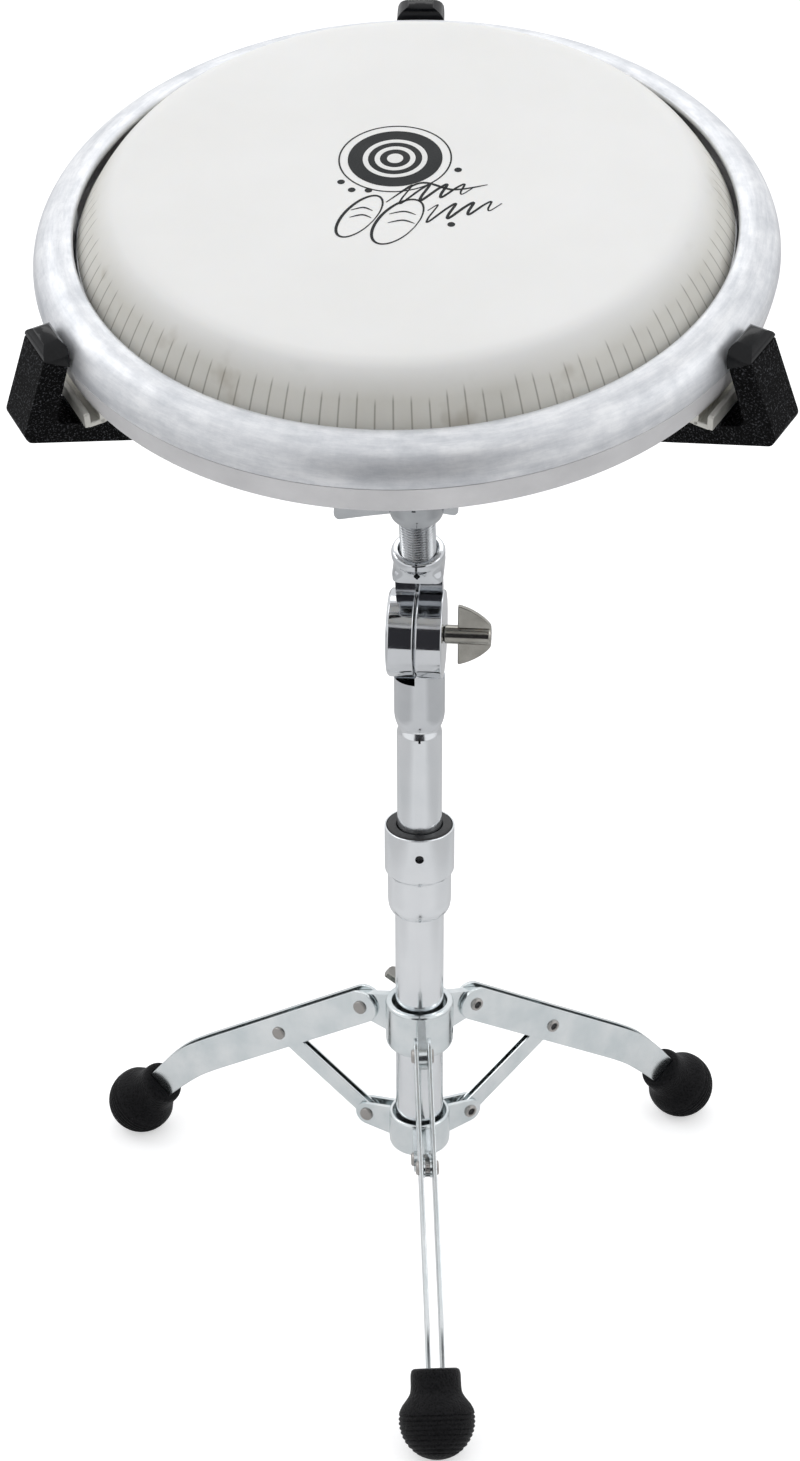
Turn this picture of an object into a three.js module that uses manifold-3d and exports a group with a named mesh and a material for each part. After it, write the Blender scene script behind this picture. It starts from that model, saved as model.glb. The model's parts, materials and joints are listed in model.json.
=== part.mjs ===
// Practice pad drum on a folding tripod stand.
// Units are millimetres, +Z is up, the floor is z = 0. The stand's column is built on the
// Z axis and the whole group is moved at the end, so that its box is centred on X = Y = 0.
import * as THREE from "three";
import { mergeVertices } from "three/addons/utils/BufferGeometryUtils.js";
import Module from "manifold-3d";

const wasm = await Module();
wasm.setup();

// ---------------------------------------------------------------- driving dimensions
const GAP = 0.3; // air left between parts that touch
const WIDE_SEGMENTS = 44; // facets of the drum's round parts
const TUBE_SEGMENTS = 24; // facets of tubes, collars and feet
const PIN_SEGMENTS = 10; // facets of rivets, pins and screws

// Tripod. Radii are measured from the column's axis in the plane of a leg.
const LEG_ANGLES = { front: 272.72, right: 32.72, left: 152.72 };
const LEG_TOP_PIVOT = { r: 33.6, z: 130.4 };
const LEG_STRUT_PIVOT = { r: 84.7, z: 97.4 };
const STRUT_LOW_PIVOT = { r: 30.3, z: 61.3 };
const FOOT_CENTRE = { r: 181.2, z: 17.5 };
const FOOT_SLOPE = 48.5; // neck of the foot, degrees below level
const FOOT_RADIUS = 18.9;
const FOOT_NECK_RADIUS = 12.75;
const LEG_HALF_HEIGHT = 9.5;
const PLATE_THICKNESS = 2.0;
const PLATE_GAP = 5.0; // clear space between the two plates of a leg
const STRUT_WIDTH = 4.4;
const STRUT_HALF_HEIGHT = 5.0;
const STRUT_WALL = 1.0;
const RIVET_RADIUS = 2.4;
const RIVET_HOLE_RADIUS = 2.7;
const STRUT_SLACK = 0.9; // extra radius of the strut's upper hole
const RIVET_HEAD_RADIUS = 3.6;

// Column.
const BASE_TUBE = { outer: 12.7, inner: 11.7, bottom: 51.6, top: 244.2 };
const UPPER_TUBE = { outer: 11.4, inner: 10.0, bottom: 101.0, top: 326.5 };
const TUBE_SPIGOT = { outer: 10.4, inner: 9.0, bottom: 305.4 }; // reduced top end of the upper tube
const LOWER_BRACKET = { outer: 16.4, inner: 14.4, seat: 59.0, bottom: 51.6, top: 72.0 };
const UPPER_BRACKET = { outer: 18.0, inner: 14.4, bottom: 116.8, top: 143.6 };
const BRACKET_SCREW = { angle: 103, z: 130.0, seat: 23.5 };
const COLLAR = { top: 250.7, step: 225.2, taper: 206.6, bottom: 199.8, wide: 17.9, narrow: 16.4 };

// Tilter. Its pivot is the origin of the tilted head.
const PIVOT_HEIGHT = 359.0;
const HEAD_TURN = -5.03; // turn of the tilter and the drum about the column
const AXIS_OFFSET = 1.0; // the drum's axis stands this far to the right of the column's
const HEAD_TILT = 18.8; // tilt of the drum towards the front
const RATCHET_RADIUS = 21.85;
const RATCHET_LEFT = { from: -15.0, to: -1.7 };
const RATCHET_RIGHT = { from: -1.3, to: 12.3 };
const SOCKET = { outer: 12.7, bottom: 309.3, top: 336.0 };
const CLAMP = { outer: 12.9, bore: 9.3, bottom: 43.3, floor: 45.6, top: 57.0 };

// Cradle, measured along the drum's axis from the tilter's pivot.
const ROD = { radius: 8.7, bottom: 46.0, top: 146.0 };
const NUT = { bottom: 79.7, top: 94.5, turn: 184 };
const HUB = { boss: 13.0, bossBottom: 95.0, bottom: 134.0, top: 156.0, radius: 24.0 };
const ARM_ANGLES = { back: 92.5, left: 212.5, right: 332.5 };
const ARM_WIDTH = 20.5;
const ARM_TONGUE_WIDTH = 12.0;
const ARM_PIVOT = { r: 19.5, h: 149.6 };
const CAP_WIDTH = 22.0;

// Drum, measured along its axis from the tilter's pivot.
const HEAD_TOP = 267.0;
const HEAD_FLAT_RADIUS = 122.0;
const HEAD_THICKNESS = 1.6;
const RIM_CENTRE = { r: 143.2, h: 235.0 };
const RIM_SECTION = 15.0; // outer radius of the rim's rounded section
const RIM_WALL = 2.4;
const RIM_END = -2; // degrees below level at which the rim's section meets the lower frame
const FRAME_EDGE = { r: 155.1, h: 220.75 };
const EAR = { reach: 159.5, halfWidth: 22.5, bottom: 214.2, top: 221.3 };
const BOLT_COUNT = 6;
const BOLT_CIRCLE = 144.3;

// ---------------------------------------------------------------- materials
const material = (color, roughness, metalness) =>
  new THREE.MeshStandardMaterial({ color, roughness, metalness });

const HEAD_FILM = () => material(0xe6e4df, 0.55, 0.0);
const POLISHED_ALUMINIUM = () => material(0xdfe2e8, 0.28, 0.9);
const CAST_ALUMINIUM = () => material(0xcfd3d8, 0.5, 0.8);
const HARDWARE_STEEL = () => material(0x9a9c9f, 0.35, 0.9);
const TEXTURED_BLACK = () => material(0x17181a, 0.7, 0.0);
const SMOOTH_BLACK = () => material(0x26282b, 0.4, 0.0);
const CHROME = () => material(0xc9cfd6, 0.16, 1.0);
const ZINC = () => material(0xbcc5cb, 0.26, 0.95);
const NICKEL = () => material(0xb0aca2, 0.25, 1.0);
const RIVET_STEEL = () => material(0x9c9490, 0.5, 0.85);
const BLACK_RUBBER = () => material(0x161617, 0.75, 0.0);

// ---------------------------------------------------------------- solid helpers
const DEG = Math.PI / 180;

function solidFromTriangles(points, triangles) {
  const geometry = new THREE.BufferGeometry();
  geometry.setAttribute("position", new THREE.Float32BufferAttribute(points.flat(), 3));
  geometry.setIndex(triangles.flat());
  return solidFromGeometry(geometry);
}

function solidFromGeometry(source) {
  const geometry = source.clone();
  geometry.deleteAttribute("normal");
  geometry.deleteAttribute("uv");
  const merged = mergeVertices(geometry, 1e-4);
  const positions = merged.attributes.position.array;
  const index = merged.index.array;
  const kept = [];
  let volume = 0;
  const corner = (i) => new THREE.Vector3().fromArray(positions, 3 * i);
  for (let i = 0; i < index.length; i += 3) {
    const [a, b, c] = [index[i], index[i + 1], index[i + 2]];
    if (a === b || b === c || c === a) continue;
    kept.push([a, b, c]);
    volume += corner(a).dot(corner(b).cross(corner(c)));
  }
  const faces = volume < 0 ? kept.map(([a, b, c]) => [a, c, b]) : kept;
  return new wasm.Manifold(new wasm.Mesh({
    numProp: 3,
    vertProperties: new Float32Array(positions),
    triVerts: new Uint32Array(faces.flat()),
  }));
}

// Solid of revolution about Z. The profile is a list of [radius, height]. It either starts
// and ends on the axis or closes on itself.
function revolve(profile, segments) {
  const points = [];
  const rings = profile.map(([radius, height]) => {
    const ring = [];
    for (let i = 0; i < segments; i += 1) {
      if (radius === 0 && i > 0) {
        ring.push(ring[0]);
        continue;
      }
      const angle = (2 * Math.PI * i) / segments;
      ring.push(points.length);
      points.push([radius * Math.cos(angle), radius * Math.sin(angle), height]);
    }
    return ring;
  });
  const closed = profile[0][0] > 0;
  const spans = closed ? rings.length : rings.length - 1;
  const triangles = [];
  for (let k = 0; k < spans; k += 1) {
    const low = rings[k];
    const high = rings[(k + 1) % rings.length];
    for (let i = 0; i < segments; i += 1) {
      const j = (i + 1) % segments;
      triangles.push([low[i], low[j], high[j]], [low[i], high[j], high[i]]);
    }
  }
  return solidFromTriangles(points, triangles);
}

const disc = (radius, bottom, top, segments) =>
  revolve([[0, bottom], [radius, bottom], [radius, top], [0, top]], segments);

const ring = (inner, outer, bottom, top, segments) =>
  revolve([[inner, bottom], [outer, bottom], [outer, top], [inner, top]], segments);

// Straight extrusion of an outline of [x, z] corners, from y = from to y = to.
function plate(outline, from, to) {
  const contour = outline.map(([x, z]) => new THREE.Vector2(x, z));
  const faces = THREE.ShapeUtils.triangulateShape(contour, []);
  const count = outline.length;
  const points = [];
  outline.forEach(([x, z]) => points.push([x, from, z]));
  outline.forEach(([x, z]) => points.push([x, to, z]));
  const triangles = [];
  const area = THREE.ShapeUtils.area(contour);
  for (const [a, b, c] of faces) {
    triangles.push([a, b, c], [a + count, c + count, b + count]);
  }
  for (let i = 0; i < count; i += 1) {
    const j = (i + 1) % count;
    triangles.push(area > 0 ? [j, i, i + count] : [i, j, j + count]);
    triangles.push(area > 0 ? [j, i + count, j + count] : [i, j + count, i + count]);
  }
  return solidFromTriangles(points, orient(points, triangles, area));
}

// The caps of a plate are listed with one winding; the walls must agree with them.
function orient(points, triangles, area) {
  const caps = triangles.length - 2 * (points.length / 2);
  const flip = area > 0;
  return triangles.map((face, i) => (i < caps && !flip ? [face[0], face[2], face[1]] : face));
}

const block = (x0, x1, y0, y1, z0, z1) =>
  plate([[x0, z0], [x1, z0], [x1, z1], [x0, z1]], y0, y1);

// A cylinder along X or along Y.
const barX = (radius, from, to, segments) => disc(radius, from, to, segments).rotate([0, 90, 0]);
const barY = (radius, from, to, segments) => disc(radius, -to, -from, segments).rotate([90, 0, 0]);

const unite = (first, ...others) => others.reduce((sum, next) => sum.add(next), first);
const cut = (first, ...others) => others.reduce((rest, next) => rest.subtract(next), first);

// Corners of an arc, centre [x, z], from one angle to another in degrees.
function arc(x, z, radius, from, to, steps) {
  const corners = [];
  for (let i = 0; i <= steps; i += 1) {
    const angle = (from + ((to - from) * i) / steps) * DEG;
    corners.push([x + radius * Math.cos(angle), z + radius * Math.sin(angle)]);
  }
  return corners;
}

function mesh(name, solid, surface) {
  const { vertProperties, triVerts, numProp } = solid.getMesh();
  const positions = [];
  for (let i = 0; i < vertProperties.length; i += numProp) {
    positions.push(vertProperties[i], vertProperties[i + 1], vertProperties[i + 2]);
  }
  const geometry = new THREE.BufferGeometry();
  geometry.setAttribute("position", new THREE.Float32BufferAttribute(positions, 3));
  geometry.setIndex(Array.from(triVerts));
  geometry.computeVertexNormals();
  const result = new THREE.Mesh(geometry, surface);
  result.name = name;
  return result;
}

function groupAt(name, x, y, z) {
  const group = new THREE.Group();
  group.name = name;
  group.position.set(x, y, z);
  return group;
}

// ---------------------------------------------------------------- shared hardware
// Rivet along Y with a domed head at each end.
function rivet(grip) {
  const head = RIVET_HEAD_RADIUS;
  const half = grip / 2 + GAP;
  const side = [[RIVET_RADIUS, half], [head, half], [head * 0.92, half + 0.8], [head * 0.5, half + 1.5]];
  const profile = [
    [0, -half - 1.6],
    ...side.slice().reverse().map(([r, z]) => [r, -z]),
    ...side,
    [0, half + 1.6],
  ];
  return revolve(profile, PIN_SEGMENTS).rotate([90, 0, 0]);
}

// Wing screw along +X. Its seat is at x = 0, the shank runs towards -X and the wings
// stand in the XZ plane.
function wingScrew(shankRadius, shankLength, barrelRadius, barrelLength) {
  const shank = barX(shankRadius, -shankLength, 1, PIN_SEGMENTS);
  const barrel = barX(barrelRadius, 0, barrelLength, PIN_SEGMENTS);
  const wings = plate([
    [6.3, -15.7], [7.4, -15.7], [11.7, -14.2], [16.7, -11.4], [20.7, -8.0], [22.7, -5.4],
    [22.7, 5.4], [20.7, 8.0], [16.7, 11.4], [11.7, 14.2], [7.4, 15.7], [6.3, 15.7],
  ], -1.6, 1.6);
  return unite(shank, barrel, wings);
}

// ---------------------------------------------------------------- column
function baseTube() {
  const { outer, inner, bottom, top } = BASE_TUBE;
  const screwHole = barY(3.4, 0, 20, PIN_SEGMENTS).translate([0, 0, 236]);
  return cut(ring(inner, outer, bottom, top, TUBE_SEGMENTS), screwHole);
}

function baseEndPlug() {
  const cap = BASE_TUBE.bottom - GAP;
  return revolve([
    [0, cap - 2.2], [BASE_TUBE.outer - 1, cap - 2.2], [BASE_TUBE.outer, cap - 1.4],
    [BASE_TUBE.outer, cap], [BASE_TUBE.inner - GAP, cap], [BASE_TUBE.inner - GAP, cap + 3.2],
    [0, cap + 3.2],
  ], TUBE_SEGMENTS);
}

function heightCollar() {
  const bore = BASE_TUBE.outer + GAP;
  const seat = COLLAR.top - 6.5;
  const body = revolve([
    [bore, COLLAR.bottom], [bore + 0.6, COLLAR.bottom], [COLLAR.narrow - 1.4, COLLAR.bottom + 1.4],
    [COLLAR.narrow - 0.5, COLLAR.bottom + 3.4], [COLLAR.narrow, COLLAR.taper],
    [COLLAR.narrow, COLLAR.step - 1.6], [COLLAR.wide, COLLAR.step],
    [COLLAR.wide, COLLAR.top - 0.8], [COLLAR.wide - 0.5, COLLAR.top], [17.0, COLLAR.top],
    [17.0, seat], [bore, seat],
  ], TUBE_SEGMENTS);
  const frontHole = barY(2.3, -25, -5, PIN_SEGMENTS).translate([0, 0, 240]);
  const screwHole = barY(3.4, 5, 25, PIN_SEGMENTS).translate([0, 0, 236]);
  return cut(body, frontHole, screwHole);
}

function collarBushing() {
  const bottom = COLLAR.top - 6.5 + GAP;
  return revolve([
    [UPPER_TUBE.outer + GAP, bottom], [16.7, bottom], [16.7, COLLAR.top - 0.3],
    [15.9, COLLAR.top + 0.5], [UPPER_TUBE.outer + GAP, COLLAR.top + 0.5],
  ], TUBE_SEGMENTS);
}

function upperTube() {
  const { outer, inner, bottom, top } = UPPER_TUBE;
  const spigot = TUBE_SPIGOT;
  const body = revolve([
    [inner, bottom], [outer, bottom], [outer, spigot.bottom - 0.6], [outer - 0.4, spigot.bottom + 0.7],
    [spigot.outer, spigot.bottom + 2.4], [spigot.outer, top], [spigot.inner, top],
    [spigot.inner, spigot.bottom - 1], [inner, spigot.bottom - 3],
  ], TUBE_SEGMENTS);
  const mark = block(-0.8, 0.8, -14, -9.8, spigot.bottom - 1.6, spigot.bottom + 1.5);
  return cut(body, mark);
}

// ---------------------------------------------------------------- leg brackets
// Outline of a flat ear from the collar's wall to a rounded end about a pivot.
function earOutline(pivot, from, low, high, radius) {
  return [[from, low], ...arc(pivot.r, pivot.z, radius, -80, 80, 8), [from, high]];
}

function upperLegBracket() {
  const { outer, inner, bottom, top } = UPPER_BRACKET;
  let bracket = revolve([
    [inner, bottom], [outer - 1.5, bottom], [outer, bottom + 3], [outer, top - 1.2],
    [outer - 1, top], [inner, top],
  ], TUBE_SEGMENTS);
  for (const angle of Object.values(LEG_ANGLES)) {
    const half = PLATE_GAP / 2 - GAP;
    const outline = earOutline(LEG_TOP_PIVOT, inner + 1.2, 118.5, 142.6, 7);
    const hole = barY(RIVET_HOLE_RADIUS, -6, 6, PIN_SEGMENTS)
      .translate([LEG_TOP_PIVOT.r, 0, LEG_TOP_PIVOT.z]);
    bracket = bracket.add(cut(plate(outline, -half, half), hole).rotate([0, 0, angle]));
  }
  const boss = barX(6, inner + 0.8, BRACKET_SCREW.seat, PIN_SEGMENTS);
  const thread = barX(3.3, 8, 30, PIN_SEGMENTS);
  const backTurn = [0, 0, BRACKET_SCREW.angle];
  const bossHeight = [0, 0, BRACKET_SCREW.z];
  const sideHole = barX(1.7, 8, 30, PIN_SEGMENTS).rotate([0, 0, -12]).translate([0, 0, 126.3]);
  bracket = bracket.add(boss.rotate(backTurn).translate(bossHeight));
  return cut(bracket, thread.rotate(backTurn).translate(bossHeight), sideHole);
}

function lowerLegBracket() {
  const { outer, inner, seat, bottom, top } = LOWER_BRACKET;
  const bore = BASE_TUBE.outer + GAP;
  let bracket = revolve([
    [bore, bottom], [outer - 1.2, bottom], [outer, bottom + 2.0], [outer, top - 0.8],
    [outer - 0.8, top], [inner, top], [inner, seat], [bore, seat],
  ], TUBE_SEGMENTS);
  const near = PLATE_GAP / 2;
  const far = near + PLATE_THICKNESS;
  for (const angle of Object.values(LEG_ANGLES)) {
    const outline = earOutline(STRUT_LOW_PIVOT, inner + 0.9, 53, 71, 6.6);
    const hole = barY(RIVET_HOLE_RADIUS, -6, 6, PIN_SEGMENTS)
      .translate([STRUT_LOW_PIVOT.r, 0, STRUT_LOW_PIVOT.z]);
    const ears = unite(plate(outline, near, far), plate(outline, -far, -near));
    bracket = bracket.add(cut(ears, hole).rotate([0, 0, angle]));
  }
  return bracket;
}

// ---------------------------------------------------------------- legs
// All leg shapes are in the leg's own frame: origin at its top pivot, X outwards.
const footX = FOOT_CENTRE.r - LEG_TOP_PIVOT.r;
const footZ = FOOT_CENTRE.z - LEG_TOP_PIVOT.z;
const neckX = -Math.cos(FOOT_SLOPE * DEG);
const neckZ = Math.sin(FOOT_SLOPE * DEG);
const alongNeck = (distance) => [footX + neckX * distance, footZ + neckZ * distance];

function legOutline() {
  const slope = Math.atan2(LEG_STRUT_PIVOT.z - LEG_TOP_PIVOT.z, LEG_STRUT_PIVOT.r - LEG_TOP_PIVOT.r);
  const straight = (x) => [x, x * Math.tan(slope)];
  const line = [straight(8), straight(98), straight(109).map((v, i) => v - 0.6 * i),
    alongNeck(43), alongNeck(26), alongNeck(8)];
  const halves = [LEG_HALF_HEIGHT, LEG_HALF_HEIGHT, LEG_HALF_HEIGHT, 9.1, 8.0, 8.0];
  const upper = [];
  const lower = [];
  line.forEach(([x, z], i) => {
    const [px, pz] = line[Math.max(i - 1, 0)];
    const [nx, nz] = line[Math.min(i + 1, line.length - 1)];
    const length = Math.hypot(nx - px, nz - pz);
    const [sx, sz] = [(nx - px) / length, (nz - pz) / length];
    upper.push([x - sz * halves[i], z + sx * halves[i]]);
    lower.push([x + sz * halves[i], z - sx * halves[i]]);
  });
  const round = arc(0, 0, LEG_HALF_HEIGHT, slope / DEG + 90, slope / DEG + 270, 10);
  return [...round, ...lower, ...upper.reverse()];
}

function legPlate(side) {
  const near = PLATE_GAP / 2;
  const far = near + PLATE_THICKNESS;
  const [from, to] = side > 0 ? [near, far] : [-far, -near];
  const topHole = barY(RIVET_HOLE_RADIUS, -6, 6, PIN_SEGMENTS);
  const strutHole = topHole.translate([
    LEG_STRUT_PIVOT.r - LEG_TOP_PIVOT.r, 0, LEG_STRUT_PIVOT.z - LEG_TOP_PIVOT.z,
  ]);
  return cut(plate(legOutline(), from, to), topHole, strutHole);
}

function rubberFoot() {
  const R = FOOT_RADIUS;
  const N = FOOT_NECK_RADIUS;
  const ball = [-90, -65, -42, -20, 0, 12].map((a) => [
    a === -90 ? 0 : R * Math.cos(a * DEG), R * Math.sin(a * DEG),
  ]);
  const body = revolve([
    ...ball, [R - 2.0, 7.4], [R - 4.6, 10.6], [N + 0.2, 12.8], [N - 0.3, 15], [N - 0.3, 22.6],
    [N - 1.3, 24.6], [0, 24.8],
  ], TUBE_SEGMENTS);
  const half = PLATE_GAP / 2 + PLATE_THICKNESS + GAP;
  const pocket = block(-8.0 - GAP, 8.0 + GAP, -half, half, 8 - GAP, 40);
  const foot = cut(body, pocket)
    .rotate([0, FOOT_SLOPE - 90, 0])
    .translate([footX, 0, footZ]);
  const floor = -LEG_TOP_PIVOT.z;
  return cut(foot, block(footX - 40, footX + 40, -30, 30, floor - 40, floor));
}

// The strut's origin is its lower pivot and it points at its upper pivot along X.
const strutRise = LEG_STRUT_PIVOT.z - STRUT_LOW_PIVOT.z;
const strutRun = LEG_STRUT_PIVOT.r - STRUT_LOW_PIVOT.r;
const STRUT_LENGTH = Math.hypot(strutRise, strutRun);
const STRUT_SLOPE = Math.atan2(strutRise, strutRun);

function legStrut() {
  const h = STRUT_HALF_HEIGHT;
  const half = STRUT_WIDTH / 2;
  const inner = half - STRUT_WALL;
  const outline = [...arc(0, 0, h, 90, 270, 8), ...arc(STRUT_LENGTH, 0, h, -90, 90, 8)];
  const channel = block(-h - 1, STRUT_LENGTH + h + 1, -inner, inner, -h + STRUT_WALL, h + 1);
  const lowSlot = block(-h - 1, 7, -inner, inner, -h - 1, h + 1);
  const highSlot = block(STRUT_LENGTH - 7, STRUT_LENGTH + h + 1, -inner, inner, -h - 1, h + 1);
  const lowHole = barY(RIVET_HOLE_RADIUS, -6, 6, PIN_SEGMENTS);
  const highHole = barY(RIVET_HOLE_RADIUS + STRUT_SLACK, -6, 6, PIN_SEGMENTS)
    .translate([STRUT_LENGTH, 0, 0]);
  return cut(plate(outline, -half, half), channel, lowSlot, highSlot, lowHole, highHole);
}

// ---------------------------------------------------------------- tilter
function ratchetDisc({ from, to }) {
  const R = RATCHET_RADIUS;
  return revolve([
    [4.2, from], [R - 1, from], [R, from + 1], [R, to - 0.4], [R - 0.4, to], [4.2, to],
  ], 32).rotate([0, 90, 0]);
}

function tilterLower() {
  const { outer, bottom, top } = SOCKET;
  const bore = TUBE_SPIGOT.outer + GAP;
  const drop = PIVOT_HEIGHT;
  const socket = revolve([
    [bore, bottom], [bore + 0.5, bottom], [outer - 0.8, bottom + 1.9], [outer - 0.3, bottom + 3.8],
    [outer, bottom + 6.4], [outer, top], [0, top], [0, UPPER_TUBE.top + GAP],
    [bore, UPPER_TUBE.top + GAP],
  ], TUBE_SEGMENTS);
  const side = block(-1.3, 11.9, -13, 13, top - 1, drop - 12);
  const neck = disc(outer, top - 1, drop - 12, TUBE_SEGMENTS).intersect(side);
  const body = unite(socket, neck).translate([0, 0, -drop]);
  const sweep = barX(RATCHET_RADIUS + 0.5, -30, -1.3, 40);
  const screwHole = barX(4.2, -20, 20, PIN_SEGMENTS);
  return cut(unite(cut(body, sweep), ratchetDisc(RATCHET_RIGHT)), screwHole);
}

// A sleeve with a squared foot stands on a neck behind the discs. The sleeve is split at its
// front and the rod is clamped in its bore.
function tilterUpper() {
  const { outer, bore, bottom, floor, top } = CLAMP;
  const sleeve = revolve([
    [0, bottom], [outer - 0.6, bottom], [outer, bottom + 1], [outer, top - 1.6],
    [outer - 1.4, top], [bore, top], [bore, floor], [0, floor],
  ], TUBE_SEGMENTS);
  const foot = cut(block(-12.4, 12.4, -11, 11, bottom, bottom + 6), disc(bore, floor, top, TUBE_SEGMENTS));
  const slit = block(-0.8, 0.8, -20, 0, floor + 0.5, top + 1);
  const slitHole = barY(1.6, -20, 0, PIN_SEGMENTS).translate([0, 0, floor + 2.8]);
  const core = cut(unite(sleeve, foot), slit, slitHole).translate([AXIS_OFFSET, 0, 0]);
  const neck = block(-11.4, -1.7, 4.5, 12.5, 10, bottom + 2);
  const web = block(-1.8, 11.4, 6.5, 12.5, 16, bottom + 2);
  const sweep = barX(RATCHET_RADIUS + 0.5, -1.7, 30, 40);
  const whole = unite(cut(unite(core, neck, web), sweep), ratchetDisc(RATCHET_LEFT));
  return cut(whole, barX(4.2, -20, 20, PIN_SEGMENTS));
}

// ---------------------------------------------------------------- cradle
function threadedRod() {
  const { radius, bottom, top } = ROD;
  return revolve([
    [0, bottom], [radius - 1, bottom], [radius, bottom + 1], [radius, top - 1],
    [radius - 1, top], [0, top],
  ], TUBE_SEGMENTS);
}

function cradleWingNut() {
  const { bottom, top } = NUT;
  const bore = ROD.radius + GAP;
  const bell = revolve([
    [bore, bottom], [11.9, bottom], [12.5, bottom + 0.7], [13.5, bottom + 4.6], [13.5, top - 2],
    [12.5, top], [bore, top],
  ], TUBE_SEGMENTS);
  const longWing = plate([
    [11, 80.9], [37.0, 76.7], [38.7, 79.4], [38.9, 83.4], [37.2, 86.6], [24, 90], [11, 92],
  ], -2.2, 2.2);
  const shortWing = plate([
    [11, 80.6], [17.7, 78.5], [19.4, 80.6], [19.7, 84], [18.4, 87.6], [11, 91],
  ], -2.2, 2.2);
  return unite(bell, longWing, shortWing.rotate([0, 0, 180])).rotate([0, 0, NUT.turn]);
}

function cradleHub() {
  const bore = ROD.radius + GAP;
  const { boss, bossBottom, bottom, top, radius } = HUB;
  let hub = revolve([
    [bore, bossBottom], [boss - 1, bossBottom], [boss, bossBottom + 1], [boss, bottom - 6],
    [radius - 2, bottom], [radius, bottom + 2], [radius, top - 2], [radius - 2, top], [0, top],
    [0, ROD.top + GAP], [bore, ROD.top + GAP],
  ], TUBE_SEGMENTS);
  const half = ARM_TONGUE_WIDTH / 2 + GAP;
  for (const angle of Object.values(ARM_ANGLES)) {
    const slot = block(13.2, 40, -half, half, bottom - 10, top + 5);
    const pinHole = barY(2.8, -11, 11, PIN_SEGMENTS).translate([ARM_PIVOT.r, 0, ARM_PIVOT.h]);
    hub = cut(hub, slot.rotate([0, 0, angle]), pinHole.rotate([0, 0, angle]));
  }
  return hub;
}

// Arm in its own frame: origin at its pivot on the hub, X outwards, Z along the drum's axis.
const armPoint = ([r, h]) => [r - ARM_PIVOT.r, h - ARM_PIVOT.h];

function cradleArm() {
  const half = ARM_WIDTH / 2;
  const slope = Math.tan(21.06 * DEG);
  const bottomAt = (r) => 190.4 + slope * (r - 139.1);
  const topAt = (r) => bottomAt(r) + 9.9;
  const bar = [
    [28, bottomAt(28)], [180.4, bottomAt(180.4)], [182.4, 210.2], [168.8, 243.8], [159.2, 237.8],
    [167.6, topAt(167.6) + 2.5], [165.6, topAt(165.6)], [157.5, topAt(157.5)], [157.5, 213.6],
    [150.5, 213.6], [148.5, topAt(148.5)], [28, topAt(28)],
  ].map(armPoint);
  const tongueHalf = ARM_TONGUE_WIDTH / 2;
  const lift = 0.1;
  const tongue = [
    ...arc(0, 0, 5.2, 100, 290, 10),
    armPoint([34, bottomAt(34) + lift]),
    armPoint([34, topAt(34) - lift]),
  ];
  const peg = [[160.5, 238.4], [167.0, 242.5], [165.4, 246.2], [160.7, 244.4]].map(armPoint);
  const arm = unite(plate(bar, -half, half), plate(tongue, -tongueHalf, tongueHalf),
    plate(peg, -6, 6));
  return cut(arm, barY(2.8, -20, 20, PIN_SEGMENTS));
}

function armCap() {
  const half = CAP_WIDTH / 2;
  const side = [
    [158.7, 237.9], [168.8, 244.2], [168.4, 246.6], [166.6, 249.0], [163.4, 250.2], [160.2, 249.6],
    [157.8, 246.9], [158.3, 242.0],
  ].map(armPoint);
  const low = 230 - ARM_PIVOT.h;
  const dome = [
    [-half, low], [half, low], [half, low + 13.4], [half - 1.4, low + 16.6],
    [half - 5, low + 19.2], [0, low + 20.2], [5 - half, low + 19.2],
    [1.4 - half, low + 16.6], [-half, low + 13.4],
  ];
  const across = plate(dome, -30, 30).rotate([0, 0, 90]).translate([163 - ARM_PIVOT.r, 0, 0]);
  const pocket = [[160.1, 235.0], [168.0, 240.8], [165.7, 246.7], [160.1, 244.8]].map(armPoint);
  return cut(plate(side, -half, half).intersect(across), plate(pocket, -6.3, 6.3));
}

// ---------------------------------------------------------------- drum
function drumHead() {
  const t = HEAD_THICKNESS;
  const outside = [
    [0, HEAD_TOP], [HEAD_FLAT_RADIUS - 14, HEAD_TOP], [HEAD_FLAT_RADIUS, HEAD_TOP - 0.4],
    [HEAD_FLAT_RADIUS + 4.5, HEAD_TOP - 2.0], [130.5, HEAD_TOP - 6.0], [135.0, HEAD_TOP - 13.0],
    [138.6, 244.4],
  ];
  const inside = outside.map(([r, h], i) => (i < 3 ? [r, h - t] : [r - t, h - t * 0.5]));
  return revolve([...outside, ...inside.reverse()], WIDE_SEGMENTS);
}

function fleshHoop() {
  return ring(134.0, 139.6, 238.2, 243.4, WIDE_SEGMENTS);
}

function shellRing() {
  return revolve([
    [122.0, 224.9], [130.0, 224.9], [130.0, 230.0], [127.0, 234.0], [126.4, 257.0], [123.2, 263.9],
    [120.5, 263.9], [121.6, 257.0],
  ], WIDE_SEGMENTS);
}

function rim() {
  const { r, h } = RIM_CENTRE;
  const outside = arc(r, h, RIM_SECTION, 98, RIM_END, 8);
  const inside = arc(r, h, RIM_SECTION - RIM_WALL, RIM_END, 98, 6);
  const lip = [[140.0, 246.9], [140.0, 249.2]];
  let hoop = revolve([...outside, ...inside, ...lip], WIDE_SEGMENTS);
  for (let i = 0; i < BOLT_COUNT; i += 1) {
    const hole = disc(2.8, 220, 242.5, PIN_SEGMENTS).translate([BOLT_CIRCLE, 0, 0]);
    const lug = cut(block(BOLT_CIRCLE - 4.2, BOLT_CIRCLE + 4.0, -6, 6, 228.5, 248.2), hole);
    hoop = hoop.add(lug.rotate([0, 0, boltAngle(i)]));
  }
  return hoop;
}

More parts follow.
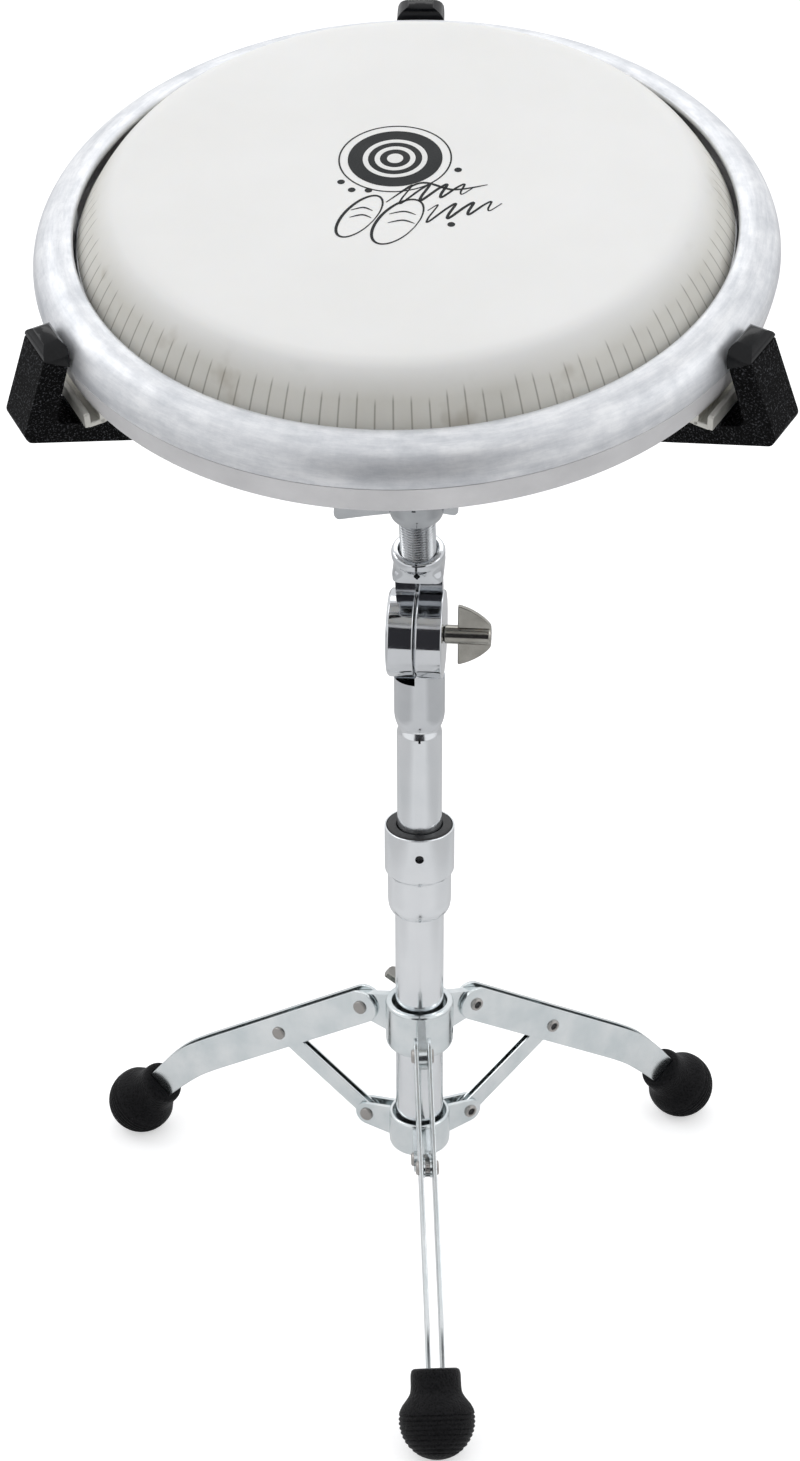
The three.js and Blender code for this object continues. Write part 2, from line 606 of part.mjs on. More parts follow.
function lowerFrame() {
  const flange = revolve([
    [FRAME_EDGE.r, FRAME_EDGE.h], [158.0, 234.1], [155.7, 234.1], [153.4, 224.6],
    [122.0, 224.6], [122.0, 222.0], [149.4, 222.0], [151.0, 220.4],
  ], WIDE_SEGMENTS);
  let frame = flange;
  for (const angle of Object.values(ARM_ANGLES)) {
    const { reach, halfWidth, bottom, top } = EAR;
    const wall = block(reach - 2.6, reach, -halfWidth, halfWidth, bottom, top);
    const shelf = block(150.6, reach, -halfWidth, halfWidth, bottom, bottom + 2.4);
    const root = block(147, 153.0, -halfWidth, halfWidth, bottom, 221.8);
    frame = frame.add(unite(wall, shelf, root).rotate([0, 0, angle]));
  }
  for (let i = 0; i < BOLT_COUNT; i += 1) {
    const hole = disc(2.8, 205, 240, PIN_SEGMENTS).translate([BOLT_CIRCLE, 0, 0]);
    frame = cut(frame, hole.rotate([0, 0, boltAngle(i)]));
  }
  return frame;
}

const boltAngle = (i) => ARM_ANGLES.back + 30 + (i * 360) / BOLT_COUNT;

function tensionBolt() {
  return revolve([
    [0, 216.2], [4.2, 216.2], [4.8, 217.0], [4.8, 221.7], [2.5, 221.7], [2.5, 241.8], [0, 241.8],
  ], PIN_SEGMENTS);
}

// ---------------------------------------------------------------- assembly
const group = new THREE.Group();
group.name = "practice_pad";
const base = groupAt("stand_base", 0, 0, 0);
const bracket = groupAt("sliding_bracket", 0, 0, 0);
const column = groupAt("upper_column", 0, 0, PIVOT_HEIGHT);
const head = groupAt("tilted_head", 0, 0, 0);
group.add(base, bracket, column);
column.rotation.z = HEAD_TURN * DEG;
column.add(head);
head.rotation.x = HEAD_TILT * DEG;
const drum = groupAt("drum_axis", AXIS_OFFSET, 0, 0);
head.add(drum);

base.add(mesh("base_tube", baseTube(), CHROME()));
base.add(mesh("base_end_plug", baseEndPlug(), SMOOTH_BLACK()));
base.add(mesh("lower_leg_bracket", lowerLegBracket(), ZINC()));
base.add(mesh("height_collar", heightCollar(), CHROME()));
base.add(mesh("collar_bushing", collarBushing(), SMOOTH_BLACK()));
const heightScrew = mesh("height_wing_screw", wingScrew(3.1, 6.2, 4.6, 22.7), NICKEL());
heightScrew.position.set(0, COLLAR.wide + GAP, 236);
heightScrew.rotation.z = 90 * DEG;
base.add(heightScrew);

bracket.add(mesh("upper_leg_bracket", upperLegBracket(), ZINC()));
const bracketScrew = mesh("bracket_wing_screw", wingScrew(3.0, 10.6, 4.6, 22.7), NICKEL());
const screwSeat = groupAt("bracket_screw_seat", 0, 0, BRACKET_SCREW.z);
screwSeat.rotation.z = BRACKET_SCREW.angle * DEG;
bracketScrew.position.x = BRACKET_SCREW.seat + GAP;
bracketScrew.rotation.x = -46 * DEG;
screwSeat.add(bracketScrew);
bracket.add(screwSeat);

const rivetGrip = PLATE_GAP + 2 * PLATE_THICKNESS;
for (const [side, angle] of Object.entries(LEG_ANGLES)) {
  const station = groupAt(`leg_station_${side}`, 0, 0, 0);
  station.rotation.z = angle * DEG;
  group.add(station);

  const leg = groupAt(`leg_${side}`, LEG_TOP_PIVOT.r, 0, LEG_TOP_PIVOT.z);
  leg.add(mesh(`leg_plate_${side}_a`, legPlate(1), ZINC()));
  leg.add(mesh(`leg_plate_${side}_b`, legPlate(-1), ZINC()));
  leg.add(mesh(`rubber_foot_${side}`, rubberFoot(), BLACK_RUBBER()));
  const middleRivet = mesh(`rivet_mid_${side}`, rivet(rivetGrip), RIVET_STEEL());
  middleRivet.position.set(
    LEG_STRUT_PIVOT.r - LEG_TOP_PIVOT.r, 0, LEG_STRUT_PIVOT.z - LEG_TOP_PIVOT.z,
  );
  leg.add(middleRivet);

  const topRivet = mesh(`rivet_top_${side}`, rivet(rivetGrip), RIVET_STEEL());
  topRivet.position.set(LEG_TOP_PIVOT.r, 0, LEG_TOP_PIVOT.z);
  const lowRivet = mesh(`rivet_low_${side}`, rivet(rivetGrip), RIVET_STEEL());
  lowRivet.position.set(STRUT_LOW_PIVOT.r, 0, STRUT_LOW_PIVOT.z);
  const strut = mesh(`leg_strut_${side}`, legStrut(), ZINC());
  strut.position.set(STRUT_LOW_PIVOT.r, 0, STRUT_LOW_PIVOT.z);
  strut.rotation.y = -STRUT_SLOPE;
  station.add(leg, topRivet, lowRivet, strut);
}

column.add(mesh("upper_tube", upperTube().translate([0, 0, -PIVOT_HEIGHT]), CHROME()));
column.add(mesh("tilter_lower", tilterLower(), CHROME()));
const tilterScrew = mesh("tilter_wing_screw", wingScrew(3.7, 26.4, 4.7, 22.7), NICKEL());
tilterScrew.position.x = RATCHET_RIGHT.to + GAP;
column.add(tilterScrew);

head.add(mesh("tilter_upper", tilterUpper(), CHROME()));
drum.add(mesh("threaded_rod", threadedRod(), CHROME()));
drum.add(mesh("cradle_wing_nut", cradleWingNut(), CHROME()));
drum.add(mesh("cradle_hub", cradleHub(), TEXTURED_BLACK()));

for (const [side, angle] of Object.entries(ARM_ANGLES)) {
  const station = groupAt(`arm_station_${side}`, 0, 0, 0);
  station.rotation.z = angle * DEG;
  drum.add(station);
  const arm = groupAt(`arm_${side}`, ARM_PIVOT.r, 0, ARM_PIVOT.h);
  arm.add(mesh(`cradle_arm_${side}`, cradleArm(), TEXTURED_BLACK()));
  arm.add(mesh(`arm_cap_${side}`, armCap(), SMOOTH_BLACK()));
  arm.add(mesh(`arm_pin_${side}`, barY(2.5, -10.4, 10.4, PIN_SEGMENTS), HARDWARE_STEEL()));
  station.add(arm);
}

drum.add(mesh("lower_frame", lowerFrame(), CAST_ALUMINIUM()));
drum.add(mesh("shell_ring", shellRing(), CAST_ALUMINIUM()));
drum.add(mesh("flesh_hoop", fleshHoop(), HARDWARE_STEEL()));
drum.add(mesh("rim", rim(), POLISHED_ALUMINIUM()));
drum.add(mesh("drum_head", drumHead(), HEAD_FILM()));
for (let i = 0; i < BOLT_COUNT; i += 1) {
  const bolt = mesh(`tension_bolt_${i + 1}`, tensionBolt().translate([BOLT_CIRCLE, 0, 0]), HARDWARE_STEEL());
  bolt.rotation.z = boltAngle(i) * DEG;
  drum.add(bolt);
}

// Centre the box of the whole object on the Z axis.
group.updateMatrixWorld(true);
const centre = new THREE.Box3().setFromObject(group, true).getCenter(new THREE.Vector3());
group.position.set(-centre.x, -centre.y, 0);
group.updateMatrixWorld(true);

export default group;
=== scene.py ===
# Practice pad drum on a folding tripod stand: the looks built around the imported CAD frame.
import json
import math

import bpy
from mathutils import Matrix, Vector


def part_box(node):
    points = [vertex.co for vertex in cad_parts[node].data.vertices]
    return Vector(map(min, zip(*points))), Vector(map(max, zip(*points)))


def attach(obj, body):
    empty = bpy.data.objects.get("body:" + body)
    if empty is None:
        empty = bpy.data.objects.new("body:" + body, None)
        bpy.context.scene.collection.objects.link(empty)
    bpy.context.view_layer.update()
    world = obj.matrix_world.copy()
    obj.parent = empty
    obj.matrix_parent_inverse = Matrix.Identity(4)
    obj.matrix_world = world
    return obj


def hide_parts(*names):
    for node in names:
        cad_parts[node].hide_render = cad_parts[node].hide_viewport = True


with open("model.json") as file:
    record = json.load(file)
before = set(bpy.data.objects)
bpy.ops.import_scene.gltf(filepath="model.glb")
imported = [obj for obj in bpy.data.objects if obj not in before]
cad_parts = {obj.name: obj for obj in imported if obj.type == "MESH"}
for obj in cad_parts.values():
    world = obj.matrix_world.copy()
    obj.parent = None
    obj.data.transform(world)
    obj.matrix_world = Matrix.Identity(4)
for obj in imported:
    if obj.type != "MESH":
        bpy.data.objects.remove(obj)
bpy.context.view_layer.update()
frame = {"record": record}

# ------------------------------------------------------------------ places, in metres
JOINTS = {joint["name"]: joint for joint in frame["record"]["behaviour"]["joints"]}
MM = 0.001
LEG_ANGLES = {"front": 272.72, "right": 32.72, "left": 152.72}  # degrees about the column
ARM_ANGLES = {"back": 92.5, "left": 212.5, "right": 332.5}  # degrees about the threaded rod
HEAD_TURN = -5.03
HEAD_TILT = 18.8

# radius from the column's axis and height, or radius from the rod's axis and height, in millimetres
TOP_PIVOT = (33.6, 130.4)  # leg on the sliding bracket
LOW_PIVOT = (30.3, 61.3)  # strut on the lower bracket
MID_PIVOT = (84.7, 97.4)  # strut on the leg
FOOT_BALL = (181.2, 17.5)
ARM_PIVOT = (19.5, 149.6)
COLLAR_SCREW_Z = 236
BRACKET_SCREW_ANGLE = 103
PLATE_SIDES = {"a": (2.5, 4.5), "b": (-4.5, -2.5)}  # the two plates of a leg, and of a lower ear
HEAD_TOP = 267.0


def turn(axis, degrees):
    return Matrix.Rotation(math.radians(degrees), 4, axis)


def shift(x, y, z):
    return Matrix.Translation(Vector((x, y, z)) * MM)


low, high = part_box("base_tube")
STAND = Matrix.Translation(((low[0] + high[0]) / 2, (low[1] + high[1]) / 2, 0))
COLUMN = Matrix.Translation(Vector(JOINTS["tilt"]["pos_m"])) @ turn("Z", HEAD_TURN)
HEAD = COLUMN @ turn("X", HEAD_TILT)
DRUM = HEAD @ shift(1.0, 0, 0)
STATION = {side: STAND @ turn("Z", angle) for side, angle in LEG_ANGLES.items()}
LEG = {side: STATION[side] @ shift(TOP_PIVOT[0], 0, TOP_PIVOT[1]) for side in LEG_ANGLES}
ARM = {side: DRUM @ turn("Z", angle) @ shift(ARM_PIVOT[0], 0, ARM_PIVOT[1]) for side, angle in ARM_ANGLES.items()}
TO_X = turn("Y", 90)  # lays a piece made along Z down along X


# ------------------------------------------------------------------ materials
class Shader:
    """A small wrapper round a node material, so that each recipe below stays short."""

    def __init__(self, name):
        self.material = bpy.data.materials.new(name)
        self.material.use_nodes = True
        self.tree = self.material.node_tree
        self.bsdf = self.tree.nodes["Principled BSDF"]

    def node(self, kind, **settings):
        made = self.tree.nodes.new(kind)
        for key, value in settings.items():
            setattr(made, key, value)
        return made

    def link(self, source, target):
        self.tree.links.new(source, target)

    def set(self, **values):
        for key, value in values.items():
            self.bsdf.inputs[key.replace("_", " ")].default_value = value

    def place(self, stretch=(1, 1, 1)):
        coordinates = self.node("ShaderNodeTexCoord")
        mapping = self.node("ShaderNodeMapping")
        mapping.inputs["Scale"].default_value = stretch
        self.link(coordinates.outputs["Object"], mapping.inputs["Vector"])
        return mapping.outputs["Vector"]

    def noise(self, vector, scale, detail=3.0, roughness=0.55):
        made = self.node("ShaderNodeTexNoise")
        made.inputs["Scale"].default_value = scale
        made.inputs["Detail"].default_value = detail
        made.inputs["Roughness"].default_value = roughness
        self.link(vector, made.inputs["Vector"])
        return made.outputs["Fac"]

    def cells(self, vector, scale):
        made = self.node("ShaderNodeTexVoronoi")
        made.inputs["Scale"].default_value = scale
        self.link(vector, made.inputs["Vector"])
        return made.outputs["Distance"]

    def ramp(self, factor, stops):
        made = self.node("ShaderNodeValToRGB")
        elements = made.color_ramp.elements
        while len(elements) < len(stops):
            elements.new(0.5)
        for element, (position, color) in zip(elements, stops):
            element.position = position
            element.color = (*color, 1.0)
        self.link(factor, made.inputs["Fac"])
        return made.outputs["Color"]

    def spread(self, factor, low, high, start=0.3, end=0.7):
        made = self.node("ShaderNodeMapRange")
        for name, value in (("From Min", start), ("From Max", end), ("To Min", low), ("To Max", high)):
            made.inputs[name].default_value = value
        self.link(factor, made.inputs["Value"])
        return made.outputs["Result"]

    def calc(self, operation, *terms):
        made = self.node("ShaderNodeMath", operation=operation)
        for socket, term in zip(made.inputs, terms):
            if isinstance(term, (int, float)):
                socket.default_value = term
            else:
                self.link(term, socket)
        return made.outputs[0]

    def blend(self, factor, first, second):
        made = self.node("ShaderNodeMix", data_type="RGBA")
        sockets = [s for s in made.inputs if s.type == "RGBA"]
        self.link(factor, made.inputs[0])
        for socket, value in zip(sockets, (first, second)):
            if isinstance(value, tuple):
                socket.default_value = (*value, 1.0)
            else:
                self.link(value, socket)
        return [s for s in made.outputs if s.type == "RGBA"][0]

    def bump(self, height, strength, distance):
        made = self.node("ShaderNodeBump")
        made.inputs["Strength"].default_value = strength
        made.inputs["Distance"].default_value = distance
        self.link(height, made.inputs["Height"])
        self.link(made.outputs["Normal"], self.bsdf.inputs["Normal"])

    def finish(self, color, roughness=None):
        self.link(color, self.bsdf.inputs["Base Color"])
        if roughness is not None:
            self.link(roughness, self.bsdf.inputs["Roughness"])
        return self.material


def metal(name, dark, light, rough, spread, grain=900.0, bump=0.05, stretch=(1, 1, 1), patch=28.0, metallic=1.0):
    """Bare or plated metal: patches between two tones, and a fine grain that may be stretched along a piece."""
    s = Shader(name)
    s.set(Metallic=metallic)
    even = s.place()
    color = s.ramp(s.noise(even, patch, 4.0), [(0.32, dark), (0.68, light)])
    fine = s.noise(s.place(stretch), grain, 2.0)
    coarse = s.noise(even, patch * 3, 5.0, 0.65)
    roughness = s.spread(s.calc("ADD", s.calc("MULTIPLY", fine, 0.4), s.calc("MULTIPLY", coarse, 0.6)),
                         rough - spread, rough + spread)
    s.bump(fine, bump, 0.00004)
    return s.finish(color, roughness)


def rim_metal():
    """Tumbled and brushed aluminium: cloudy grey with irregular brighter streaks along the rim, brushing marks
    whose brighter tone is a painted highlight.
    """
    s = Shader("rim_aluminium")
    s.set(Metallic=0.62)
    even = s.place()
    split = s.node("ShaderNodeSeparateXYZ")
    s.link(even, split.inputs["Vector"])
    x, y, z = split.outputs
    join = s.node("ShaderNodeCombineXYZ")
    s.link(s.calc("MULTIPLY", s.calc("ARCTAN2", y, x), 0.15), join.inputs["X"])
    radius = s.calc("SQRT", s.calc("ADD", s.calc("MULTIPLY", x, x), s.calc("MULTIPLY", y, y)))
    s.link(s.calc("MULTIPLY", radius, 7.0), join.inputs["Y"])
    s.link(s.calc("MULTIPLY", z, 7.0), join.inputs["Z"])
    along = join.outputs["Vector"]
    clouds = s.noise(even, 52.0, 6.0, 0.7)
    streaks = s.noise(along, 40.0, 6.0, 0.72)
    # the streaks lighten the colour along the rim: brushing marks, with painted highlight in their brighter tone
    color = s.ramp(s.calc("ADD", s.calc("MULTIPLY", clouds, 0.5), s.calc("MULTIPLY", streaks, 0.5)),
                   [(0.38, (0.66, 0.68, 0.71)), (0.50, (0.79, 0.805, 0.83)), (0.61, (0.93, 0.94, 0.955))])
    fine = s.noise(even, 620.0, 4.0, 0.7)
    roughness = s.spread(clouds, 0.50, 0.38)
    s.bump(s.calc("ADD", s.calc("MULTIPLY", fine, 0.35), streaks), 0.30, 0.00022)
    return s.finish(color, roughness)


def plastic(name, dark, light, rough, spread, grain, bump, depth, shine=0.5):
    """Moulded plastic, rubber or print: a grain of small cells, with painted shade darkening its hollows and
    painted highlight lightening its tops.
    """
    s = Shader(name)
    s.set(Specular_IOR_Level=shine)
    even = s.place()
    fine = s.noise(even, grain, 2.0, 0.6)
    cells = s.cells(even, grain * 0.9)
    height = s.calc("ADD", fine, s.calc("MULTIPLY", cells, 0.7))
    # painted shade and highlight: the colour follows the grain's height, dark in the hollows and light on top
    color = s.ramp(height, [(0.45, dark), (0.95, light)])
    roughness = s.spread(s.noise(even, 60.0, 4.0), rough - spread, rough + spread)
    s.bump(height, bump, depth)
    return s.finish(color, roughness)


def crackle_black():
    """Fine textured black coating: near black with small raised flecks, lightened as painted glints."""
    s = Shader("arm_black")
    s.set(Specular_IOR_Level=0.05, Metallic=0.0)
    even = s.place()
    fine = s.noise(even, 1250.0, 2.0, 0.6)
    glint_specks = s.spread(s.noise(even, 1150.0, 3.0, 0.7), 0.0, 1.0, 0.55, 0.66)
    # painted glints: the flecks take a lighter colour for the sparkle of the coating
    color = s.blend(glint_specks, (0.0008, 0.0008, 0.0010), (0.085, 0.088, 0.095))
    roughness = s.spread(fine, 0.50, 0.34)
    s.bump(s.calc("ADD", fine, glint_specks), 0.6, 0.00016)
    return s.finish(color, roughness)


def head_film():
    """Off-white film: satin, with painted shade on its collar, which has short slits and faint stains."""
    s = Shader("head_film")
    s.set(IOR=1.45, Subsurface_Weight=0.12, Subsurface_Scale=0.004)
    s.bsdf.inputs["Subsurface Radius"].default_value = (1.0, 0.8, 0.6)
    even = s.place()
    split = s.node("ShaderNodeSeparateXYZ")
    coordinates = s.node("ShaderNodeTexCoord")
    s.link(coordinates.outputs["Object"], split.inputs["Vector"])
    x, y, z = split.outputs
    flat = s.ramp(s.noise(even, 9.0, 5.0), [(0.3, (0.86, 0.855, 0.83)), (0.7, (0.91, 0.905, 0.885))])
    # painted shade: the sloping collar gets a darker colour than the flat top, standing in for the light it does
    # not catch
    side = s.ramp(s.noise(even, 26.0, 5.0), [(0.3, (0.66, 0.645, 0.59)), (0.7, (0.76, 0.745, 0.69))])
    lower = s.spread(z, 1.0, 0.0, 0.2560, 0.2652)
    color = s.blend(lower, flat, side)
    # fine upright slits round the lower edge of the collar, each of its own length
    lap = s.calc("MULTIPLY", s.calc("ADD", s.calc("DIVIDE", s.calc("ARCTAN2", y, x), 2 * math.pi), 0.5), 118.0)
    slit = s.calc("ABSOLUTE", s.calc("SUBTRACT", s.calc("FRACT", lap), 0.5))
    number = s.calc("FLOOR", lap)
    chance = s.calc("FRACT", s.calc("MULTIPLY", s.calc("SINE", s.calc("MULTIPLY", number, 12.9898)), 437.58))
    tip = s.calc("ADD", 0.2562, s.calc("MULTIPLY", chance, 0.0040))
    thin = s.spread(slit, 1.0, 0.0, 0.025, 0.065)
    under = s.spread(s.calc("SUBTRACT", tip, z), 0.0, 1.0, 0.0, 0.0025)
    mark = s.calc("MULTIPLY", thin, under)
    color = s.blend(s.calc("MULTIPLY", mark, 0.55), color, (0.16, 0.14, 0.11))
    # faint stains low on the collar
    stain = s.spread(s.noise(even, 46.0, 3.0), 0.0, 0.32, 0.60, 0.74)
    color = s.blend(s.calc("MULTIPLY", stain, lower), color, (0.27, 0.22, 0.15))
    roughness = s.spread(s.noise(even, 180.0, 4.0), 0.42, 0.58)
    pores = s.calc("ADD", s.noise(even, 1500.0, 2.0), s.calc("MULTIPLY", mark, -6.0))
    s.bump(pores, 0.12, 0.00006)
    return s.finish(color, roughness)


MATERIALS = {
    "rim_aluminium": rim_metal(),
    "frame_aluminium": metal("frame_aluminium", (0.74, 0.735, 0.74), (0.86, 0.855, 0.86), 0.58, 0.08, 1100.0, 0.35,
                             metallic=0.6),
    "ear_aluminium": metal("ear_aluminium", (0.62, 0.61, 0.57), (0.76, 0.75, 0.70), 0.52, 0.08, 900.0, 0.4),
    "chrome": metal("chrome", (0.64, 0.66, 0.68), (0.74, 0.755, 0.775), 0.09, 0.05, 500.0, 0.03),
    "tube_chrome": metal("tube_chrome", (0.80, 0.825, 0.845), (0.88, 0.895, 0.91), 0.17, 0.06, 620.0, 0.05,
                         (1, 1, 0.15)),
    # a darker copy of chrome for the wing nut under the drum: painted shade
    "shaded_nut_chrome": metal("shaded_nut_chrome", (0.40, 0.415, 0.43), (0.54, 0.555, 0.57), 0.10, 0.05, 500.0, 0.03),
    "rod_steel": metal("rod_steel", (0.46, 0.475, 0.49), (0.58, 0.595, 0.61), 0.24, 0.06, 700.0, 0.06),
    "zinc": metal("zinc", (0.70, 0.755, 0.77), (0.86, 0.89, 0.895), 0.20, 0.06, 420.0, 0.05, (1, 1, 1), 60.0),
    "nickel": metal("nickel", (0.27, 0.26, 0.235), (0.42, 0.41, 0.375), 0.19, 0.06, 800.0, 0.06, (1, 1, 1), 70.0),
    "steel_hardware": metal("steel_hardware", (0.44, 0.45, 0.46), (0.60, 0.61, 0.62), 0.36, 0.08),
    "rivet_steel": metal("rivet_steel", (0.36, 0.34, 0.325), (0.52, 0.50, 0.48), 0.36, 0.10, 700.0, 0.25),
    "arm_black": crackle_black(),
    "smooth_black": plastic("smooth_black", (0.0015, 0.0017, 0.0022), (0.005, 0.0055, 0.0065), 0.15, 0.06,
                            500.0, 0.12, 0.00006, 0.26),
    "bush_black": plastic("bush_black", (0.006, 0.006, 0.007), (0.020, 0.020, 0.021), 0.38, 0.08,
                          900.0, 0.3, 0.0001),
    "black_rubber": plastic("black_rubber", (0.0004, 0.0004, 0.0005), (0.011, 0.011, 0.012), 0.42, 0.12,
                            1000.0, 1.0, 0.00035, 0.085),
    "ink": plastic("ink", (0.010, 0.012, 0.013), (0.018, 0.020, 0.021), 0.50, 0.05, 1400.0, 0.1, 0.00002, 0.2),
    "mark_white": plastic("mark_white", (0.78, 0.78, 0.76), (0.84, 0.84, 0.82), 0.5, 0.05, 1200.0, 0.1, 0.00002),
}
MATERIALS["head_film"] = head_film()


# ------------------------------------------------------------------ shapes, in millimetres
def lathe(profile, segments=96, phase=0.0):
    """Solid of revolution about Z from [radius, height] points, as (vertices, faces)."""
    vertices, rings = [], []
    for radius, height in profile:
        if radius < 1e-6:
            rings.append([len(vertices)] * segments)
            vertices.append((0.0, 0.0, height))
            continue
        start = len(vertices)
        rings.append(list(range(start, start + segments)))
        for i in range(segments):
            angle = 2 * math.pi * (i + phase) / segments
            vertices.append((radius * math.cos(angle), radius * math.sin(angle), height))
    closed = profile[0][0] > 1e-6
    faces = []
    for k in range(len(rings) if closed else len(rings) - 1):
        a, b = rings[k], rings[(k + 1) % len(rings)]
        for i in range(segments):
            j = (i + 1) % segments
            corners = [a[i], a[j], b[j], b[i]]
            faces.append([c for n, c in enumerate(corners) if c not in corners[:n]])
    return vertices, [face for face in faces if len(face) > 2]


def prism(outline, start, end):
    """Extrudes an outline of (x, z) corners along Y."""
    count = len(outline)
    vertices = [(x, start, z) for x, z in outline] + [(x, end, z) for x, z in outline]
    faces = [list(range(count)), list(range(2 * count - 1, count - 1, -1))]
    for i in range(count):
        j = (i + 1) % count
        faces.append([j, i, i + count, j + count])
    area = sum(outline[i][0] * outline[(i + 1) % count][1] - outline[(i + 1) % count][0] * outline[i][1]
               for i in range(count))
    if area < 0:
        faces = [face[::-1] for face in faces]
    return vertices, faces


def block(x0, x1, y0, y1, z0, z1):
    """A box, for cuts and for plain parts of a larger shape."""
    return prism([(x0, z0), (x1, z0), (x1, z1), (x0, z1)], y0, y1)


def rounded(points, radius, steps=4, closed=True):
    """Rounds the corners of a polyline. radius is one number or one for each corner."""
    result = []
    count = len(points)
    for i, point in enumerate(points):
        size = radius[i] if isinstance(radius, (list, tuple)) else radius
        if size <= 0 or (not closed and i in (0, count - 1)):
            result.append(tuple(point))
            continue
        here = Vector(point)
        back, ahead = Vector(points[i - 1]) - here, Vector(points[(i + 1) % count]) - here
        reach = min(size, back.length * 0.46, ahead.length * 0.46)
        first, last = here + back.normalized() * reach, here + ahead.normalized() * reach
        for k in range(steps + 1):
            t = k / steps
            result.append(tuple(first * (1 - t) ** 2 + here * 2 * t * (1 - t) + last * t ** 2))
    return result


def arc(x, z, radius, start, end, steps):
    """Points on an arc about (x, z), from start to end in degrees."""
    return [(x + radius * math.cos(math.radians(start + (end - start) * i / steps)),
             z + radius * math.sin(math.radians(start + (end - start) * i / steps))) for i in range(steps + 1)]


def moved(shape, matrix):
    """A shape in millimetres turned and moved by a matrix in metres."""
    vertices, faces = shape
    return [tuple((matrix @ (Vector(v) * MM)) / MM) for v in vertices], faces


def joined(*shapes):
    vertices, faces = [], []
    for more_vertices, more_faces in shapes:
        start = len(vertices)
        vertices += list(more_vertices)
        faces += [[index + start for index in face] for face in more_faces]
    return vertices, faces


def mesh_object(name, shape):
    vertices, faces = shape
    data = bpy.data.meshes.new(name)
    data.from_pydata([Vector(v) * MM for v in vertices], [], faces)
    data.validate()
    data.update()
    made = bpy.data.objects.new(name, data)
    bpy.context.scene.collection.objects.link(made)
    return made


def carve(target, shape, operation="DIFFERENCE"):
    """Cuts a shape from an object in its own frame, or adds it, and keeps the result."""
    tool = mesh_object("tool", shape)
    tool.matrix_world = target.matrix_world
    modifier = target.modifiers.new("carve", "BOOLEAN")
    modifier.operation = operation
    modifier.solver = "EXACT"
    modifier.object = tool
    graph = bpy.context.evaluated_depsgraph_get()
    result = bpy.data.meshes.new_from_object(target.evaluated_get(graph))
    target.modifiers.clear()
    target.data = result
    bpy.data.objects.remove(tool)


def piece(name, shape, place, material, body, stands_for=(), smooth=38, bevel=0.0, cuts=(), adds=(), segments=2):
    """Makes one piece of the object: builds it, places it, finishes its edges and ties it to its body."""
    made = mesh_object(name, shape)
    for extra in adds:
        carve(made, extra, "UNION")
    for cutter in cuts:
        carve(made, cutter)
    made.matrix_world = place
    made.data.shade_smooth()
    made.data.set_sharp_from_angle(angle=math.radians(smooth))
    if bevel > 0:
        edge = made.modifiers.new("edges", "BEVEL")
        edge.width = bevel * MM
        edge.segments = segments
        edge.limit_method = "ANGLE"
        edge.angle_limit = math.radians(smooth)
        edge.harden_normals = True
        weighted = made.modifiers.new("normals", "WEIGHTED_NORMAL")
        weighted.keep_sharp = True
    made.data.materials.clear()
    made.data.materials.append(MATERIALS[material])
    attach(made, body)
    if stands_for:
        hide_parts(*([stands_for] if isinstance(stands_for, str) else stands_for))
    return made


# ------------------------------------------------------------------ column and collars
def build_column():
    tube = lathe(rounded([(11.7, 51.6), (12.7, 51.6), (12.7, 244.2), (11.7, 244.2)], 0.3))
    piece("base_tube_shell", tube, STAND, "tube_chrome", "stand_base", "base_tube")
    plug = rounded([(0, 49.1), (11.7, 49.1), (12.7, 49.9), (12.7, 51.3), (11.4, 51.3), (11.4, 54.5), (0, 54.5)],
                   0.4, closed=False)
    piece("base_plug", lathe(plug), STAND, "bush_black", "stand_base", "base_end_plug")

    body = rounded([(13.0, 199.8), (13.6, 199.8), (15.0, 201.2), (15.9, 203.2), (16.4, 206.6), (16.4, 223.6),
                    (17.9, 225.2), (17.9, 250.7), (17.0, 250.7), (17.0, 244.2), (13.0, 244.2)],
                   [0.2, 0.3, 1.2, 1.6, 2.5, 0.9, 0.9, 0.6, 0.2, 0.2, 0.2])
    to_front = turn("X", -90) @ shift(0, -240, 0)
    hole = moved(lathe([(0, -26), (2.3, -26), (2.3, -14), (0, -14)], 32), to_front)
    piece("height_collar_body", lathe(body, 128), STAND, "tube_chrome", "stand_base", "height_collar",
          cuts=[hole])
    grub = rounded([(0, -15.4), (2.05, -15.4), (2.05, -13.6), (0, -13.6)], 0.2, closed=False)
    piece("collar_set_screw", moved(lathe(grub, 32), to_front), STAND, "bush_black", "stand_base")
    ring = rounded([(11.7, 244.5), (16.7, 244.5), (16.7, 250.4), (16.0, 251.2), (12.2, 251.2), (11.7, 250.6)], 0.4)
    piece("collar_bushing_ring", lathe(ring), STAND, "bush_black", "stand_base", "collar_bushing")

    upper = lathe(rounded([(10.0, -258.0), (11.4, -258.0), (11.4, -54.2), (11.0, -52.9), (10.4, -51.2),
                           (10.4, -32.5), (9.0, -32.5), (9.0, -54.6), (10.0, -56.6)],
                          [0.3, 0.3, 0.8, 0.8, 0.6, 0.2, 0.2, 0.5, 0.5]))
    slot = block(-0.55, 0.55, -14, -8, -55.8, -52.6)
    piece("upper_tube_shell", upper, COLUMN, "tube_chrome", "upper_column", "upper_tube",
          cuts=[moved(slot, turn("Z", 5))])
    # a thin dark sheet just inside the slot: painted shade seen through it
    backing = moved(block(-0.9, 0.9, -9.6, -9.2, -56.0, -52.4), turn("Z", 5))
    piece("upper_tube_slot_shade", backing, COLUMN, "bush_black", "upper_column")


